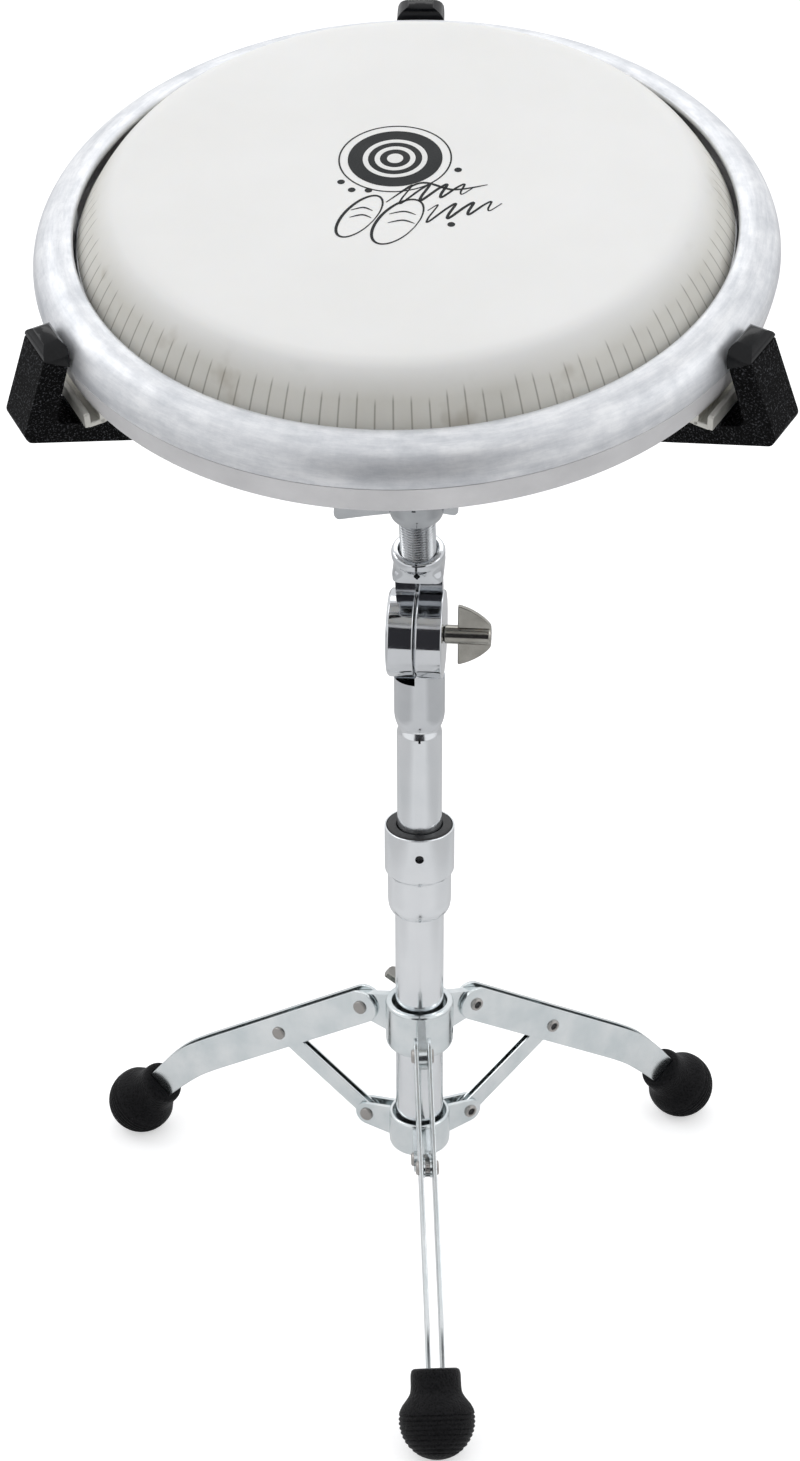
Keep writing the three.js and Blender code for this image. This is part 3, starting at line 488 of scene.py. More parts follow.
# ------------------------------------------------------------------ hardware used in several places
def wing_screw_shape(shank_radius, shank_length):
    """Along +X: seat at x = 0, shank towards -X, wings in the XZ plane."""
    spine = rounded([(0, -shank_length), (shank_radius - 0.6, -shank_length), (shank_radius, 0.6 - shank_length),
                     (shank_radius, 0), (4.7, 0), (4.7, 21.6), (4.0, 22.7), (0, 22.7)], 0.4, closed=False)
    outline = [(6.3, -15.7), (7.4, -15.7), (11.7, -14.2), (16.7, -11.4), (20.7, -8.0), (22.7, -5.4),
               (22.7, 5.4), (20.7, 8.0), (16.7, 11.4), (11.7, 14.2), (7.4, 15.7), (6.3, 15.7)]
    wings = prism(rounded(outline, [0.6, 1.5, 3, 4, 3, 1.2, 1.2, 3, 4, 3, 1.5, 0.6]), -1.5, 1.5)
    return joined(moved(lathe(spine, 40), TO_X), wings)


RIVET_HALF = 4.55


def rivet_shape():
    """Along Y: a domed head at +Y and a rolled tubular end at -Y."""
    half = RIVET_HALF
    dome = [(3.65, half), (3.65, half + 0.75), (3.45, half + 1.05), (3.05, half + 1.2), (1.6, half + 1.3),
            (0, half + 1.33)]
    rolled = [(0, 3.6 - half), (1.9, 3.6 - half), (1.95, -half - 0.7), (2.2, -half - 1.2), (2.75, -half - 1.35),
              (3.35, -half - 1.0), (3.65, -half)]
    return moved(lathe([*rolled, (2.4, -half), (2.4, half), *dome], 40), turn("X", -90))


def rivet_hollow_shade():
    """A dark plug in the rivet's hollow end: painted shade for the deep hole."""
    half = RIVET_HALF
    return moved(lathe([(0, -half - 0.35), (1.86, -half - 0.5), (1.86, 3.5 - half), (0, 3.5 - half)], 32),
                 turn("X", -90))


def build_wing_screws():
    seat = STAND @ shift(0, 18.2, COLLAR_SCREW_Z) @ turn("Z", 90)
    piece("height_screw_piece", wing_screw_shape(3.1, 6.2), seat, "nickel", "height_screw", "height_wing_screw",
          bevel=0.5)
    seat = STAND @ turn("Z", BRACKET_SCREW_ANGLE) @ shift(23.8, 0, 130) @ turn("X", -46)
    piece("bracket_screw_piece", wing_screw_shape(3.0, 10.6), seat, "nickel", "bracket_screw",
          "bracket_wing_screw", bevel=0.5)
    piece("tilter_screw_piece", wing_screw_shape(3.7, 26.4), COLUMN @ shift(12.6, 0, 0), "nickel", "tilter_screw",
          "tilter_wing_screw", bevel=0.5)


# ------------------------------------------------------------------ tripod
def ear(pivot, start, bottom, top, radius, y0, y1):
    """A bracket's lug: round about its pivot, and wide where it meets the collar at start."""
    outline = [(start, bottom), *arc(*pivot, radius, -80, 80, 14), (start, top)]
    return prism(outline, y0, y1)


def build_brackets():
    collar = rounded([(14.4, 116.8), (16.4, 116.8), (17.6, 118.2), (18.0, 120.0), (18.0, 142.3), (17.2, 143.6),
                      (14.9, 143.6), (14.4, 142.9)], [0.2, 1.0, 1.2, 1.2, 0.9, 0.7, 0.3, 0.3])
    lug = ear(TOP_PIVOT, 15.6, 118.5, 142.6, 7.0, -2.2, 2.2)
    ears = [moved(lug, turn("Z", angle)) for angle in LEG_ANGLES.values()]
    back = turn("Z", BRACKET_SCREW_ANGLE) @ shift(0, 0, 130) @ TO_X
    boss = moved(lathe(rounded([(0, 15.2), (6, 15.2), (6, 23.5), (0, 23.5)], 0.5, closed=False), 32), back)
    thread = moved(lathe([(0, 8), (3.3, 8), (3.3, 30), (0, 30)], 24), back)
    side = moved(lathe([(0, 8), (1.7, 8), (1.7, 30), (0, 30)], 24), turn("Z", -12) @ shift(0, 0, 126.3) @ TO_X)
    seam = block(-0.35, 0.35, -20, -14, 142.2, 146)
    piece("upper_bracket_body", lathe(collar), STAND, "zinc", "sliding_bracket", "upper_leg_bracket",
          adds=[*ears, boss], cuts=[thread, side, seam], bevel=0.55)

    ring = rounded([(13.0, 51.6), (15.0, 51.6), (16.2, 52.8), (16.4, 54.6), (16.4, 71.0), (15.7, 72.0),
                    (14.8, 72.0), (14.4, 71.6), (14.4, 59.0), (13.0, 59.0)],
                   [0.2, 0.8, 0.8, 0.8, 0.6, 0.4, 0.2, 0.2, 0.2, 0.2])
    pairs = [moved(ear(LOW_PIVOT, 15.2, 53, 70.5, 6.6, *sides), turn("Z", angle))
             for angle in LEG_ANGLES.values() for sides in PLATE_SIDES.values()]
    piece("lower_bracket_body", lathe(ring), STAND, "zinc", "stand_base", "lower_leg_bracket", adds=pairs,
          bevel=0.45)


# in a leg's own frame, with the top pivot at its origin
FOOT_SLOPE = 48.5
FOOT_X, FOOT_Z = FOOT_BALL[0] - TOP_PIVOT[0], FOOT_BALL[1] - TOP_PIVOT[1]


def along_neck(distance):
    """The point on the foot's axis at a distance from the ball's middle."""
    slope = math.radians(FOOT_SLOPE)
    return (FOOT_X - math.cos(slope) * distance, FOOT_Z + math.sin(slope) * distance)


def leg_outline():
    """A leg plate: straight from its round top, then bent down into the foot's neck."""
    slope = math.atan2(MID_PIVOT[1] - TOP_PIVOT[1], MID_PIVOT[0] - TOP_PIVOT[0])
    line = [(8, 8 * math.tan(slope)), (97, 97 * math.tan(slope)), (109, 109 * math.tan(slope) - 0.6),
            along_neck(43), along_neck(26), along_neck(8)]
    halves = [9.5, 9.5, 9.5, 9.1, 8.0, 8.0]
    upper, lower = [], []
    for i, (x, z) in enumerate(line):
        (px, pz), (nx, nz) = line[max(i - 1, 0)], line[min(i + 1, len(line) - 1)]
        length = math.hypot(nx - px, nz - pz)
        sx, sz = (nx - px) / length, (nz - pz) / length
        upper.append((x - sz * halves[i], z + sx * halves[i]))
        lower.append((x + sz * halves[i], z - sx * halves[i]))
    bend = [0, 14, 14, 14, 8, 0.6]
    angle = math.degrees(slope)
    turned = arc(0, 0, 9.5, angle + 90, angle + 270, 24)
    points = [*turned, *lower, *upper[::-1]]
    return rounded(points, [0] * len(turned) + bend + bend[::-1], 5)


def foot_profile():
    """Ribbed ball and smooth neck, from the ball's far end up the neck."""
    ball = []
    steps = 84
    for i in range(steps + 1):
        angle = -90 + 105 * i / steps
        height = 18.9 * math.sin(math.radians(angle))
        radius = 18.9 * math.cos(math.radians(angle))
        if -15.5 < height < 2.5:
            radius -= 0.62 * (0.5 + 0.5 * math.cos(2 * math.pi * height / 2.25)) ** 2
        ball.append((0.0 if i == 0 else radius, height))
    neck = [(16.9, 7.4), (14.3, 10.6), (12.95, 12.8), (12.55, 15.2), (12.45, 22.0), (11.9, 24.0), (10.6, 24.8),
            (0, 24.8)]
    return ball + rounded(neck, [1.5, 1.5, 1, 1, 1, 1, 1, 0], 4, closed=False)


def strut_shape(length):
    """A folded channel along +X: two walls with round ends, joined by a web along the bottom."""
    stadium = [*arc(0, 0, 5.0, 90, 270, 16), *arc(length, 0, 5.0, -90, 90, 16)]
    walls = [prism(stadium, 1.2, 2.2), prism(stadium, -2.2, -1.2)]
    web = prism(rounded([(6.8, -5.0), (length - 6.8, -5.0), (length - 6.8, -4.0), (6.8, -4.0)], 0.3), -1.4, 1.4)
    return joined(*walls, web)


def build_legs():
    out, up = MID_PIVOT[0] - LOW_PIVOT[0], MID_PIVOT[1] - LOW_PIVOT[1]
    length, slope = math.hypot(out, up), math.degrees(math.atan2(up, out))
    outline = leg_outline()
    for side in LEG_ANGLES:
        body = f"leg_{side}"
        for letter, sides in PLATE_SIDES.items():
            piece(f"leg_{side}_plate_{letter}_piece", prism(outline, *sides), LEG[side], "zinc", body,
                  f"leg_plate_{side}_{letter}", bevel=0.5, smooth=25, segments=3)
        foot_place = LEG[side] @ shift(FOOT_X, 0, FOOT_Z) @ turn("Y", FOOT_SLOPE - 90)
        floor = moved(block(-60, 60, -60, 60, -60, -FOOT_BALL[1]), turn("Y", 90 - FOOT_SLOPE))
        pocket = block(-8.3, 8.3, -4.8, 4.8, 7.7, 40)
        piece(f"foot_{side}_piece", lathe(foot_profile(), 96), foot_place, "black_rubber", body,
              f"rubber_foot_{side}", cuts=[floor, pocket], smooth=50)
        low_pivot = STATION[side] @ shift(LOW_PIVOT[0], 0, LOW_PIVOT[1])
        mid_pivot = STATION[side] @ shift(MID_PIVOT[0], 0, MID_PIVOT[1])
        pivots = (("mid", mid_pivot, body), ("top", LEG[side], "sliding_bracket"), ("low", low_pivot, "stand_base"))
        for spot, place, owner in pivots:
            piece(f"rivet_{spot}_{side}_piece", rivet_shape(), place, "rivet_steel", owner, f"rivet_{spot}_{side}")
        # a dark plug in each rivet's hollow: painted shade
        for spot, place, owner in pivots:
            piece(f"rivet_{spot}_{side}_bore", rivet_hollow_shade(), place, "bush_black", owner)
        piece(f"strut_{side}_piece", strut_shape(length), low_pivot @ turn("Y", -slope), "zinc", f"strut_{side}",
              f"leg_strut_{side}", bevel=0.25, smooth=25)


# ------------------------------------------------------------------ tilter
def ratchet(start, end):
    """One disc of the tilter, along X from start to end."""
    side = rounded([(4.2, start), (9.0, start), (9.4, start + 0.8), (17.6, start + 0.8), (18.0, start),
                    (20.6, start), (21.85, start + 1.2), (21.85, end - 0.5), (21.35, end), (4.2, end)], 0.35)
    return moved(lathe(side, 128), TO_X)


def disc_room():
    """The round room that the two tilter discs need, with their gap."""
    return moved(lathe([(0, -30), (22.35, -30), (22.35, 30), (0, 30)], 96), TO_X)


def clamp_shape():
    """The rod clamp: a squared foot that turns through a hollow waist into a round sleeve with a bore."""
    stations = [(43.3, 11.4, 10.2, 7), (43.9, 12.2, 10.9, 7), (45.6, 12.4, 11.0, 6), (47.2, 12.2, 10.9, 5),
                (48.8, 11.7, 10.9, 3.4), (50.2, 11.8, 11.2, 2.6), (51.6, 12.3, 12.0, 2.2), (52.8, 12.8, 12.8, 2),
                (53.4, 12.9, 12.9, 2), (55.6, 12.9, 12.9, 2), (56.5, 12.5, 12.5, 2), (57.0, 11.7, 11.7, 2),
                (57.0, 9.9, 9.9, 2), (56.3, 9.3, 9.3, 2), (45.6, 9.3, 9.3, 2)]
    count = 96
    vertices, faces = [], []
    for height, across, deep, power in stations:
        for i in range(count):
            angle = 2 * math.pi * i / count
            c, s = math.cos(angle), math.sin(angle)
            radius = (abs(c / across) ** power + abs(s / deep) ** power) ** (-1 / power)
            vertices.append((radius * c, radius * s, height))
    for k in range(len(stations) - 1):
        for i in range(count):
            j = (i + 1) % count
            faces.append([k * count + i, k * count + j, (k + 1) * count + j, (k + 1) * count + i])
    last = (len(stations) - 1) * count
    faces.append(list(range(count))[::-1])
    faces.append([last + i for i in range(count)])
    return vertices, faces


def build_tilter():
    socket = lathe(rounded([(0, -32.2), (10.7, -32.2), (10.7, -49.7), (11.2, -49.7), (11.9, -47.8), (12.4, -45.9),
                            (12.7, -43.3), (12.7, -12.0), (0, -12.0)],
                           [0, 0.2, 0.1, 0.2, 1.0, 1.2, 2.0, 0.3, 0], closed=False), 96)
    left = block(-20, -1.3, -20, 20, -23, -5)
    right = block(11.9, 20, -20, 20, -23, -5)
    piece("tilter_lower_piece", socket, COLUMN, "chrome", "upper_column", "tilter_lower",
          cuts=[left, right, disc_room()], bevel=0.6)
    piece("tilter_right_half", ratchet(-1.3, 12.3), COLUMN, "chrome", "upper_column")

    neck = block(-12.4, -2.7, 4.5, 12.5, 18, 44.6)
    web = block(-3.0, 10.4, 6.5, 12.5, 18, 44.6)
    slit = block(-0.55, 0.55, -20, 0, 46.6, 58)
    hole = moved(lathe([(0, -20), (1.5, -20), (1.5, 0), (0, 0)], 24), turn("X", -90) @ shift(0, -48.6, 0))
    sweep = moved(disc_room(), shift(-1.0, 0, 0))
    piece("tilter_upper_piece", clamp_shape(), DRUM, "chrome", "tilted_head", "tilter_upper",
          adds=[neck, web], cuts=[sweep, slit, hole], bevel=0.4)
    piece("tilter_left_half", ratchet(-15.0, -1.7), HEAD, "chrome", "tilted_head")
    root = block(-11.4, -1.9, 4.5, 12.5, 14.0, 24.0)
    piece("tilter_left_root", root, HEAD, "chrome", "tilted_head", bevel=0.4)


def threaded_rod():
    """Rod with a real helical thread, 1.6 mm pitch."""
    pitch, outer, inner, start, end, segments, rows_per_pitch = 1.6, 8.7, 7.7, 47.0, 96.0, 56, 8
    rows = int((end - start) / pitch * rows_per_pitch)
    vertices, faces = [], []
    for row in range(rows + 1):
        z = start + (end - start) * row / rows
        fade = min(1.0, (z - start) / 1.5, (end - z) / 1.5)
        for i in range(segments):
            angle = 2 * math.pi * i / segments
            phase = (z / pitch - i / segments) % 1.0
            wave = abs(phase * 2 - 1)
            wave = max(0.0, min(1.0, (wave - 0.1) / 0.8))
            radius = inner + (outer - inner) * wave * max(fade, 0.0)
            vertices.append((radius * math.cos(angle), radius * math.sin(angle), z))
    for row in range(rows):
        for i in range(segments):
            j = (i + 1) % segments
            a, b = row * segments, (row + 1) * segments
            faces.append([a + i, a + j, b + j, b + i])
    faces.append(list(range(segments))[::-1])
    faces.append([rows * segments + i for i in range(segments)])
    core = lathe(rounded([(0, 46.0), (6.7, 46.0), (7.6, 47.0), (7.6, 146.0), (0, 146.0)], 0.3, closed=False), 56)
    return joined((vertices, faces), core)


# ------------------------------------------------------------------ cradle
def build_cradle():
    piece("threaded_rod_piece", threaded_rod(), DRUM, "rod_steel", "tilted_head", "threaded_rod", smooth=60)
    bell = lathe(rounded([(9.0, 79.7), (11.8, 79.7), (12.5, 80.4), (13.5, 84.3), (13.5, 92.5), (12.5, 94.5),
                          (9.0, 94.5)], [0.2, 0.5, 0.8, 2.0, 1.2, 0.8, 0.2]), 96)
    long_wing = prism(rounded([(11, 81.2), (24, 79.6), (37.0, 77.6), (38.7, 79.6), (38.9, 83.4), (37.2, 86.6),
                               (24, 90), (11, 92)], [0.2, 4, 1.6, 1.6, 2, 3, 6, 0.2]), -2.2, 2.2)
    short_wing = prism(rounded([(11, 80.9), (17.7, 79.2), (19.4, 80.9), (19.7, 84), (18.4, 87.6), (11, 91)],
                               [0.2, 1.4, 1.6, 2, 2.5, 0.2]), -2.2, 2.2)
    notches = [block(-1.0, 1.0, -20, -12.7, 79.0, 81.4), block(-0.9, 0.9, -20, -12.9, 91.6, 92.8)]
    # the wing nut takes the darker copy of chrome: painted shade under the drum
    piece("cradle_nut_piece", bell, DRUM @ turn("Z", 184), "shaded_nut_chrome", "cradle_nut", "cradle_wing_nut",
          adds=[long_wing, moved(short_wing, turn("Z", 180))], cuts=[moved(n, turn("Z", 176)) for n in notches],
          bevel=0.7, segments=3)

    hub = lathe([(0, 146.3), (9.0, 146.3), (9.0, 95.0), (12.2, 95.0), (13.0, 96.0), (13.0, 128.0), (22.0, 134.2),
                 (24.0, 136.2), (24.0, 153.6), (22.0, 156.0), (0, 156.0)], 96)
    slots = [moved(block(13.2, 40, -6.3, 6.3, 124, 161), turn("Z", a)) for a in ARM_ANGLES.values()]
    piece("cradle_hub_piece", hub, DRUM, "arm_black", "tilted_head", "cradle_hub", cuts=slots, bevel=0.8)

    slope = math.tan(math.radians(21.06))

    def under(r):
        return 190.4 + slope * (r - 139.1)

    def over(r):
        return under(r) + 9.9

    def local(points):
        return [(r - ARM_PIVOT[0], h - ARM_PIVOT[1]) for r, h in points]

    bar = local([(28, under(28)), (180.4, under(180.4)), (182.4, 210.2), (168.8, 243.8), (159.2, 237.8),
                 (167.6, over(167.6) + 2.5), (165.6, over(165.6)), (157.5, over(157.5)), (157.5, 213.6),
                 (150.5, 213.6), (148.5, over(148.5)), (28, over(28))])
    bar = rounded(bar, [1.5, 1.5, 2.0, 0.8, 0.8, 1.5, 1.5, 0.5, 1.0, 1.0, 1.0, 1.5], 3)
    tongue = [*arc(0, 0, 5.2, 100, 290, 16), *local([(34, under(34) + 0.1), (34, over(34) - 0.1)])]
    peg = local([(160.5, 238.4), (167.0, 242.5), (165.4, 246.2), (160.7, 244.4)])
    cap_side = rounded(local([(158.7, 237.9), (168.8, 244.2), (168.4, 246.6), (166.6, 249.0), (163.4, 250.2),
                              (160.2, 249.6), (157.8, 246.9), (158.3, 242.0)]),
                       [0.3, 0.3, 1.2, 2, 2, 2, 2, 1], 4)
    foot = 230 - ARM_PIVOT[1]
    across = rounded([(-11, foot), (11, foot), (11, foot + 13.4), (9.6, foot + 16.6), (6, foot + 19.2),
                      (0, foot + 20.2), (-6, foot + 19.2), (-9.6, foot + 16.6), (-11, foot + 13.4)],
                     [0, 0, 2, 3, 4, 6, 4, 3, 2], 4)
    dome = moved(prism(across, -30, 30), shift(143.5, 0, 0) @ turn("Z", 90))
    for side in ARM_ANGLES:
        body = f"arm_{side}"
        piece(f"arm_{side}_piece", prism(bar, -10.25, 10.25), ARM[side], "arm_black", body, f"cradle_arm_{side}",
              adds=[prism(tongue, -6, 6), prism(peg, -6, 6)], bevel=1.1, smooth=28, segments=3)
        cap = mesh_object(f"arm_{side}_cap_piece", prism(cap_side, -11, 11))
        carve(cap, dome, "INTERSECT")
        finish_piece(cap, ARM[side], "smooth_black", body, f"arm_cap_{side}", 1.1)
        pin = moved(lathe(rounded([(0, -10.4), (2.5, -10.4), (2.5, 10.4), (0, 10.4)], 0.4, closed=False), 32),
                    turn("X", -90))
        piece(f"arm_{side}_pin_piece", pin, ARM[side], "steel_hardware", "tilted_head", f"arm_pin_{side}")


def finish_piece(made, place, material, body, stands_for, bevel):
    """The last steps of piece() for an object that was already shaped."""
    made.matrix_world = place
    made.data.shade_smooth()
    made.data.set_sharp_from_angle(angle=math.radians(40))
    edge = made.modifiers.new("edges", "BEVEL")
    edge.width = bevel * MM
    edge.segments = 3
    edge.limit_method = "ANGLE"
    edge.angle_limit = math.radians(40)
    edge.harden_normals = True
    made.data.materials.clear()
    made.data.materials.append(MATERIALS[material])
    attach(made, body)
    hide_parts(stands_for)


# ------------------------------------------------------------------ drum
def head_outside():
    """The film's outer line: flat field, soft bend, sloping collar."""
    line = [(0, HEAD_TOP), (96, HEAD_TOP), (111, 266.97), (117.6, 266.7), (121.4, 265.6), (125.4, 262.7),
            (129.6, 258.2), (133.9, 252.2), (138.6, 244.4)]
    return rounded(line, [0, 0, 5, 4, 3, 3, 3, 3, 0], 6, closed=False)


def build_drum():
    outside = head_outside()
    inside = [(max(r - 1.1, 0.0) if h < 266.4 else r, h - 1.3) for r, h in outside]
    inside[0] = (0, inside[0][1])
    piece("head_film_piece", lathe([*outside, *inside[::-1]], 236, 0.5), DRUM, "head_film", "tilted_head",
          "drum_head", smooth=60)

    outer = arc(143.2, 235.0, 15.0, 98, -1, 32)
    inner = arc(143.2, 235.0, 12.6, -2, 98, 24)
    section = [*outer, *inner, (140.3, 247.0), (139.9, 247.6), (139.9, 248.9), (140.4, 249.6)]
    piece("rim_piece", lathe(section, 236), DRUM, "rim_aluminium", "tilted_head", "rim", smooth=45)

    ring = [(155.1, 220.8), (156.6, 226.4), (157.6, 230.9), (158.15, 234.35), (155.7, 234.35), (153.4, 224.6),
            (122.0, 224.6), (122.0, 222.0), (149.4, 222.0), (151.0, 220.6)]
    piece("lower_frame_ring", lathe(rounded(ring, [0.4, 2, 2, 0.25, 0.2, 0.4, 0.2, 0.2, 1, 0.8], 3), 236), DRUM,
          "frame_aluminium", "tilted_head", "lower_frame", smooth=30)
    for side, angle in ARM_ANGLES.items():
        wall = prism(rounded([(-22.5, 214.2), (22.5, 214.2), (22.5, 221.3), (-22.5, 221.3)], 1.2), 156.9, 159.5)
        shelf = block(150.6, 158.0, -22.5, 22.5, 214.2, 216.6)
        root = block(147.2, 153.0, -22.5, 22.5, 214.4, 221.9)
        shape = joined(moved(wall, turn("Z", -90)), shelf, root)
        piece(f"ear_{side}_piece", shape, DRUM @ turn("Z", angle), "ear_aluminium", "tilted_head", bevel=0.45)

    shell = rounded([(122.0, 224.9), (130.0, 224.9), (130.0, 230.0), (127.0, 234.0), (125.0, 256.0), (121.2, 262.6),
                     (118.4, 262.8), (119.6, 256.0)], [0.4, 0.4, 1.5, 1.5, 2, 1.2, 1.0, 3])
    piece("shell_ring_piece", lathe(shell, 160), DRUM, "frame_aluminium", "tilted_head", "shell_ring")
    hoop = lathe(rounded([(134.0, 238.2), (139.6, 238.2), (139.6, 243.4), (134.0, 243.4)], 0.8), 160)
    piece("flesh_hoop_piece", hoop, DRUM, "steel_hardware", "tilted_head", "flesh_hoop")

    for i in range(6):
        place = DRUM @ turn("Z", ARM_ANGLES["back"] + 30 + 60 * i) @ shift(144.3, 0, 0)
        shank = lathe([(0, 241.8), (2.5, 241.8), (2.5, 221.7), (0, 221.7)], 24)
        head = lathe(rounded([(0, 218.4), (2.0, 218.4), (2.0, 216.2), (4.2, 216.2), (4.8, 217.0), (4.8, 221.7),
                              (0, 221.7)], [0, 0, 0.1, 0.5, 0.5, 0.3, 0], 3, closed=False), 36)
        lug = block(-4.2, 4.0, -6, 6, 228.5, 248.0)
        piece(f"tension_bolt_{i + 1}_piece", joined(shank, head), place, "steel_hardware", "tilted_head",
              f"tension_bolt_{i + 1}")
        piece(f"rim_lug_{i + 1}", lug, place, "rim_aluminium", "tilted_head", bevel=0.6)


# ------------------------------------------------------------------ the plain printed mark on the head
def flat_ring(inner, outer, height, thickness, segments=96):
    """A thin ring, or a thin disc where inner is 0."""
    top = height + thickness
    return lathe([(inner, height), (outer, height), (outer, top), (inner, top)], segments)


def ribbon(points, width, height, thickness):
    """A thin printed stroke along a smooth curve through points, tapered at both ends."""
    path = []
    extended = [points[0], *points, points[-1]]
    for k in range(1, len(extended) - 2):
        p0, p1, p2, p3 = (Vector(extended[k + n]) for n in (-1, 0, 1, 2))
        for step in range(10):
            t = step / 10
            path.append(0.5 * ((2 * p1) + (p2 - p0) * t + (2 * p0 - 5 * p1 + 4 * p2 - p3) * t * t
                               + (3 * p1 - p0 - 3 * p2 + p3) * t ** 3))
    path.append(Vector(points[-1]))
    left, right = [], []
    for i, point in enumerate(path):
        ahead = path[min(i + 1, len(path) - 1)] - path[max(i - 1, 0)]
        side = Vector((-ahead.y, ahead.x)).normalized()
        t = i / (len(path) - 1)
        half = width / 2 * (0.35 + 0.65 * math.sin(math.pi * min(max(t, 0.02), 0.98)))
        left.append(point + side * half)
        right.append(point - side * half)
    vertices = [(p.x, p.y, height + thickness) for p in left] + [(p.x, p.y, height + thickness) for p in right]
    count = len(path)
    faces = [[i, i + 1, count + i + 1, count + i] for i in range(count - 1)]
    return vertices, [face[::-1] for face in faces]


def ellipse(x, y, across, along, lean):
    """Points round an oval that leans by some degrees."""
    turned = math.radians(lean)
    points = []
    for i in range(17):
        angle = 2 * math.pi * i / 16
        px, py = across * math.cos(angle), along * math.sin(angle)
        points.append((x + px * math.cos(turned) - py * math.sin(turned),
                       y + px * math.sin(turned) + py * math.cos(turned)))
    return points


def wave(x, y, length, height, turns, rise):
    """A plain wavy line that leans forward and dies away."""
    points = []
    for i in range(turns * 4 + 1):
        t = i / (turns * 4)
        swing = math.sin(math.pi * i / 2 + 0.4) * height * (1 - 0.55 * t)
        points.append((x + length * t + 0.55 * swing, y + rise * t + swing))
    return points


def build_mark():
    top, film = HEAD_TOP, 0.06
    place = DRUM @ shift(-4.8, 13.3, 0)
    disc = flat_ring(0, 19.9, top + 0.02, film)
    ring = flat_ring(23.2, 23.9, top + 0.02, film)
    piece("mark_disc", joined(disc, ring), place, "ink", "tilted_head", smooth=30)
    bars = [flat_ring(11.4, 13.6, top + 0.09, film), flat_ring(6.4, 8.6, top + 0.09, film),
            flat_ring(0, 3.4, top + 0.09, film, 48)]
    piece("mark_rings", joined(*bars), place, "mark_white", "tilted_head", smooth=30)
    strokes = [
        ribbon(ellipse(-11, -41, 6.6, 15.5, -24), 1.35, top, film),
        ribbon(ellipse(5, -44, 8.0, 16.5, -24), 1.35, top, film),
        ribbon([(-15, -37), (-10, -35), (-6, -37)], 0.95, top, film),
        ribbon([(-15, -42), (-10, -40), (-6, -42)], 0.95, top, film),
        ribbon([(1, -39), (7, -37), (12, -39)], 0.95, top, film),
        ribbon([(1, -45), (7, -43), (12, -45)], 0.95, top, film),
        ribbon(wave(3, -26, 31, 8.0, 4, 6), 1.35, top, film),
        ribbon(wave(15, -39, 31, 7.5, 4, 8), 1.35, top, film),
        ribbon([(-1, -31), (12, -17), (26, -21), (40, -17)], 1.35, top, film),
    ]
    piece("mark_strokes", joined(*strokes), place, "ink", "tilted_head", smooth=30)
    dots = [moved(flat_ring(0, 1.6, top + 0.02, film, 24), shift(x, y, 0))
            for x, y in ((-21, -17.6), (-16, -23), (-9, -23), (27, -7), (27, -45))]
    piece("mark_dots", joined(*dots), place, "ink", "tilted_head", smooth=30)


build_column()
build_wing_screws()
build_brackets()
build_legs()
build_tilter()
build_cradle()
build_drum()
build_mark()


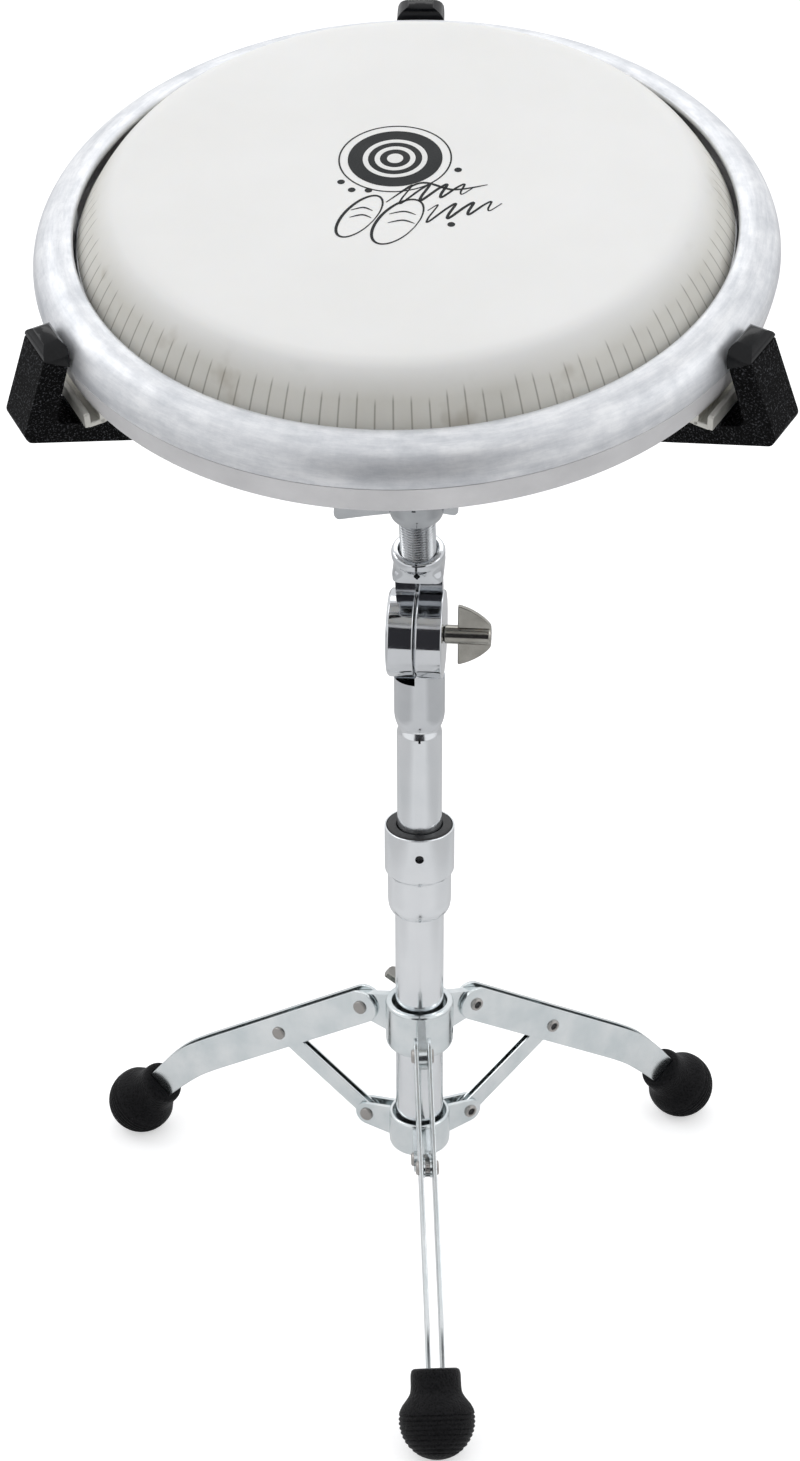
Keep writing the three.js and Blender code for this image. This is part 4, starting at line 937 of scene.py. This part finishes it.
# ------------------------------------------------------------------ studio
def build_studio():
    """A white floor and sky, three soft lights, and what only the reflections see: darker floor and studio."""
    floor_material = Shader("studio_floor")
    floor_material.set(Roughness=0.9, Specular_IOR_Level=0.1)
    floor_material.bsdf.inputs["Emission Color"].default_value = (1.0, 1.0, 1.0, 1.0)
    in_view = floor_material.node("ShaderNodeLightPath").outputs["Is Camera Ray"]
    floor_material.link(floor_material.calc("MULTIPLY", in_view, 0.5),
                        floor_material.bsdf.inputs["Emission Strength"])
    tone = floor_material.ramp(floor_material.noise(floor_material.place(), 0.6),
                               [(0.3, (0.78, 0.78, 0.78)), (0.7, (0.80, 0.80, 0.80))])
    split = floor_material.node("ShaderNodeSeparateXYZ")
    floor_material.link(floor_material.place(), split.inputs["Vector"])
    behind = floor_material.spread(split.outputs["Y"], 0.0, 0.34, 0.05, 0.55)
    aside = floor_material.spread(floor_material.calc("ABSOLUTE", split.outputs["X"]), 0.0, 0.26, 0.26, 0.46)
    shade = floor_material.calc("MULTIPLY", floor_material.calc("MAXIMUM", behind, aside),
                                floor_material.calc("SUBTRACT", 1.0, in_view))
    tone = floor_material.blend(shade, tone, (0.05, 0.05, 0.055))
    floor = mesh_object("studio_floor", ([(-9000, -1050, -0.4), (9000, -1050, -0.4), (9000, 14000, -0.4),
                                          (-9000, 14000, -0.4)], [[0, 1, 2, 3]]))
    floor.data.materials.append(floor_material.finish(tone))

    world = bpy.data.worlds.new("studio")
    bpy.context.scene.world = world
    world.use_nodes = True
    tree = world.node_tree
    background = tree.nodes["Background"]
    coordinates = tree.nodes.new("ShaderNodeTexCoord")
    split = tree.nodes.new("ShaderNodeSeparateXYZ")
    tree.links.new(coordinates.outputs["Generated"], split.inputs["Vector"])

    def calc(operation, first, second=0.0, clamp=False):
        made = tree.nodes.new("ShaderNodeMath")
        made.operation = operation
        made.use_clamp = clamp
        for socket, term in zip(made.inputs, (first, second)):
            if isinstance(term, (int, float)):
                socket.default_value = term
            else:
                tree.links.new(term, socket)
        return made.outputs[0]

    # a dark studio behind the camera, about 41 degrees high and 27 degrees to each side
    side = calc("ABSOLUTE", calc("ARCTAN2", split.outputs["X"], calc("MULTIPLY", split.outputs["Y"], -1.0)))
    narrow = calc("MULTIPLY", calc("SUBTRACT", math.radians(27), side), 14.0, True)
    low_part = calc("MULTIPLY", calc("SUBTRACT", math.sin(math.radians(41)), split.outputs["Z"]), 22.0, True)
    dark = calc("MULTIPLY", narrow, low_part)
    seen = tree.nodes.new("ShaderNodeLightPath").outputs["Is Camera Ray"]
    amount = calc("MULTIPLY", dark, calc("SUBTRACT", 1.0, seen))
    mix = tree.nodes.new("ShaderNodeMix")
    mix.data_type = "RGBA"
    colors = [s for s in mix.inputs if s.type == "RGBA"]
    colors[0].default_value = (0.98, 0.985, 1.0, 1.0)
    colors[1].default_value = (0.035, 0.035, 0.04, 1.0)
    tree.links.new(amount, mix.inputs[0])
    tree.links.new([s for s in mix.outputs if s.type == "RGBA"][0], background.inputs["Color"])
    tree.links.new(calc("ADD", 0.90, calc("MULTIPLY", seen, 0.14)), background.inputs["Strength"])

    def softbox(name, location, target, width, height, power):
        light = bpy.data.lights.new(name, "AREA")
        light.shape = "RECTANGLE"
        light.size, light.size_y, light.energy = width, height, power
        made = bpy.data.objects.new(name, light)
        made.location = location
        made.rotation_euler = (Vector(target) - Vector(location)).to_track_quat("-Z", "Y").to_euler()
        bpy.context.scene.collection.objects.link(made)

    softbox("key", (-1.5, 0.5, 2.0), (0, 0, 0.4), 0.9, 0.9, 5)
    softbox("fill", (1.7, -0.4, 1.5), (0, 0, 0.3), 0.7, 1.2, 3)
    softbox("top", (0.1, 1.3, 2.2), (0, 0, 0.5), 1.6, 0.7, 4)
    bpy.context.scene.view_settings.view_transform = "Standard"
    bpy.context.scene.view_settings.look = "None"


def build_camera():
    """The photograph's view, solved from the stand's own lines."""
    data = bpy.data.cameras.new("photo_view")
    data.sensor_fit = "AUTO"
    data.sensor_width = 36.0
    data.lens = 64.505
    data.shift_x = -0.01335
    data.clip_start = 0.02
    data.clip_end = 60.0
    made = bpy.data.objects.new("photo_view", data)
    made.location = STAND @ Vector((0.0, -1.1539, 0.9237))
    made.rotation_euler = (math.radians(90 - 28.21), 0.0, 0.0)
    bpy.context.scene.collection.objects.link(made)
    bpy.context.scene.camera = made


build_studio()
build_camera()
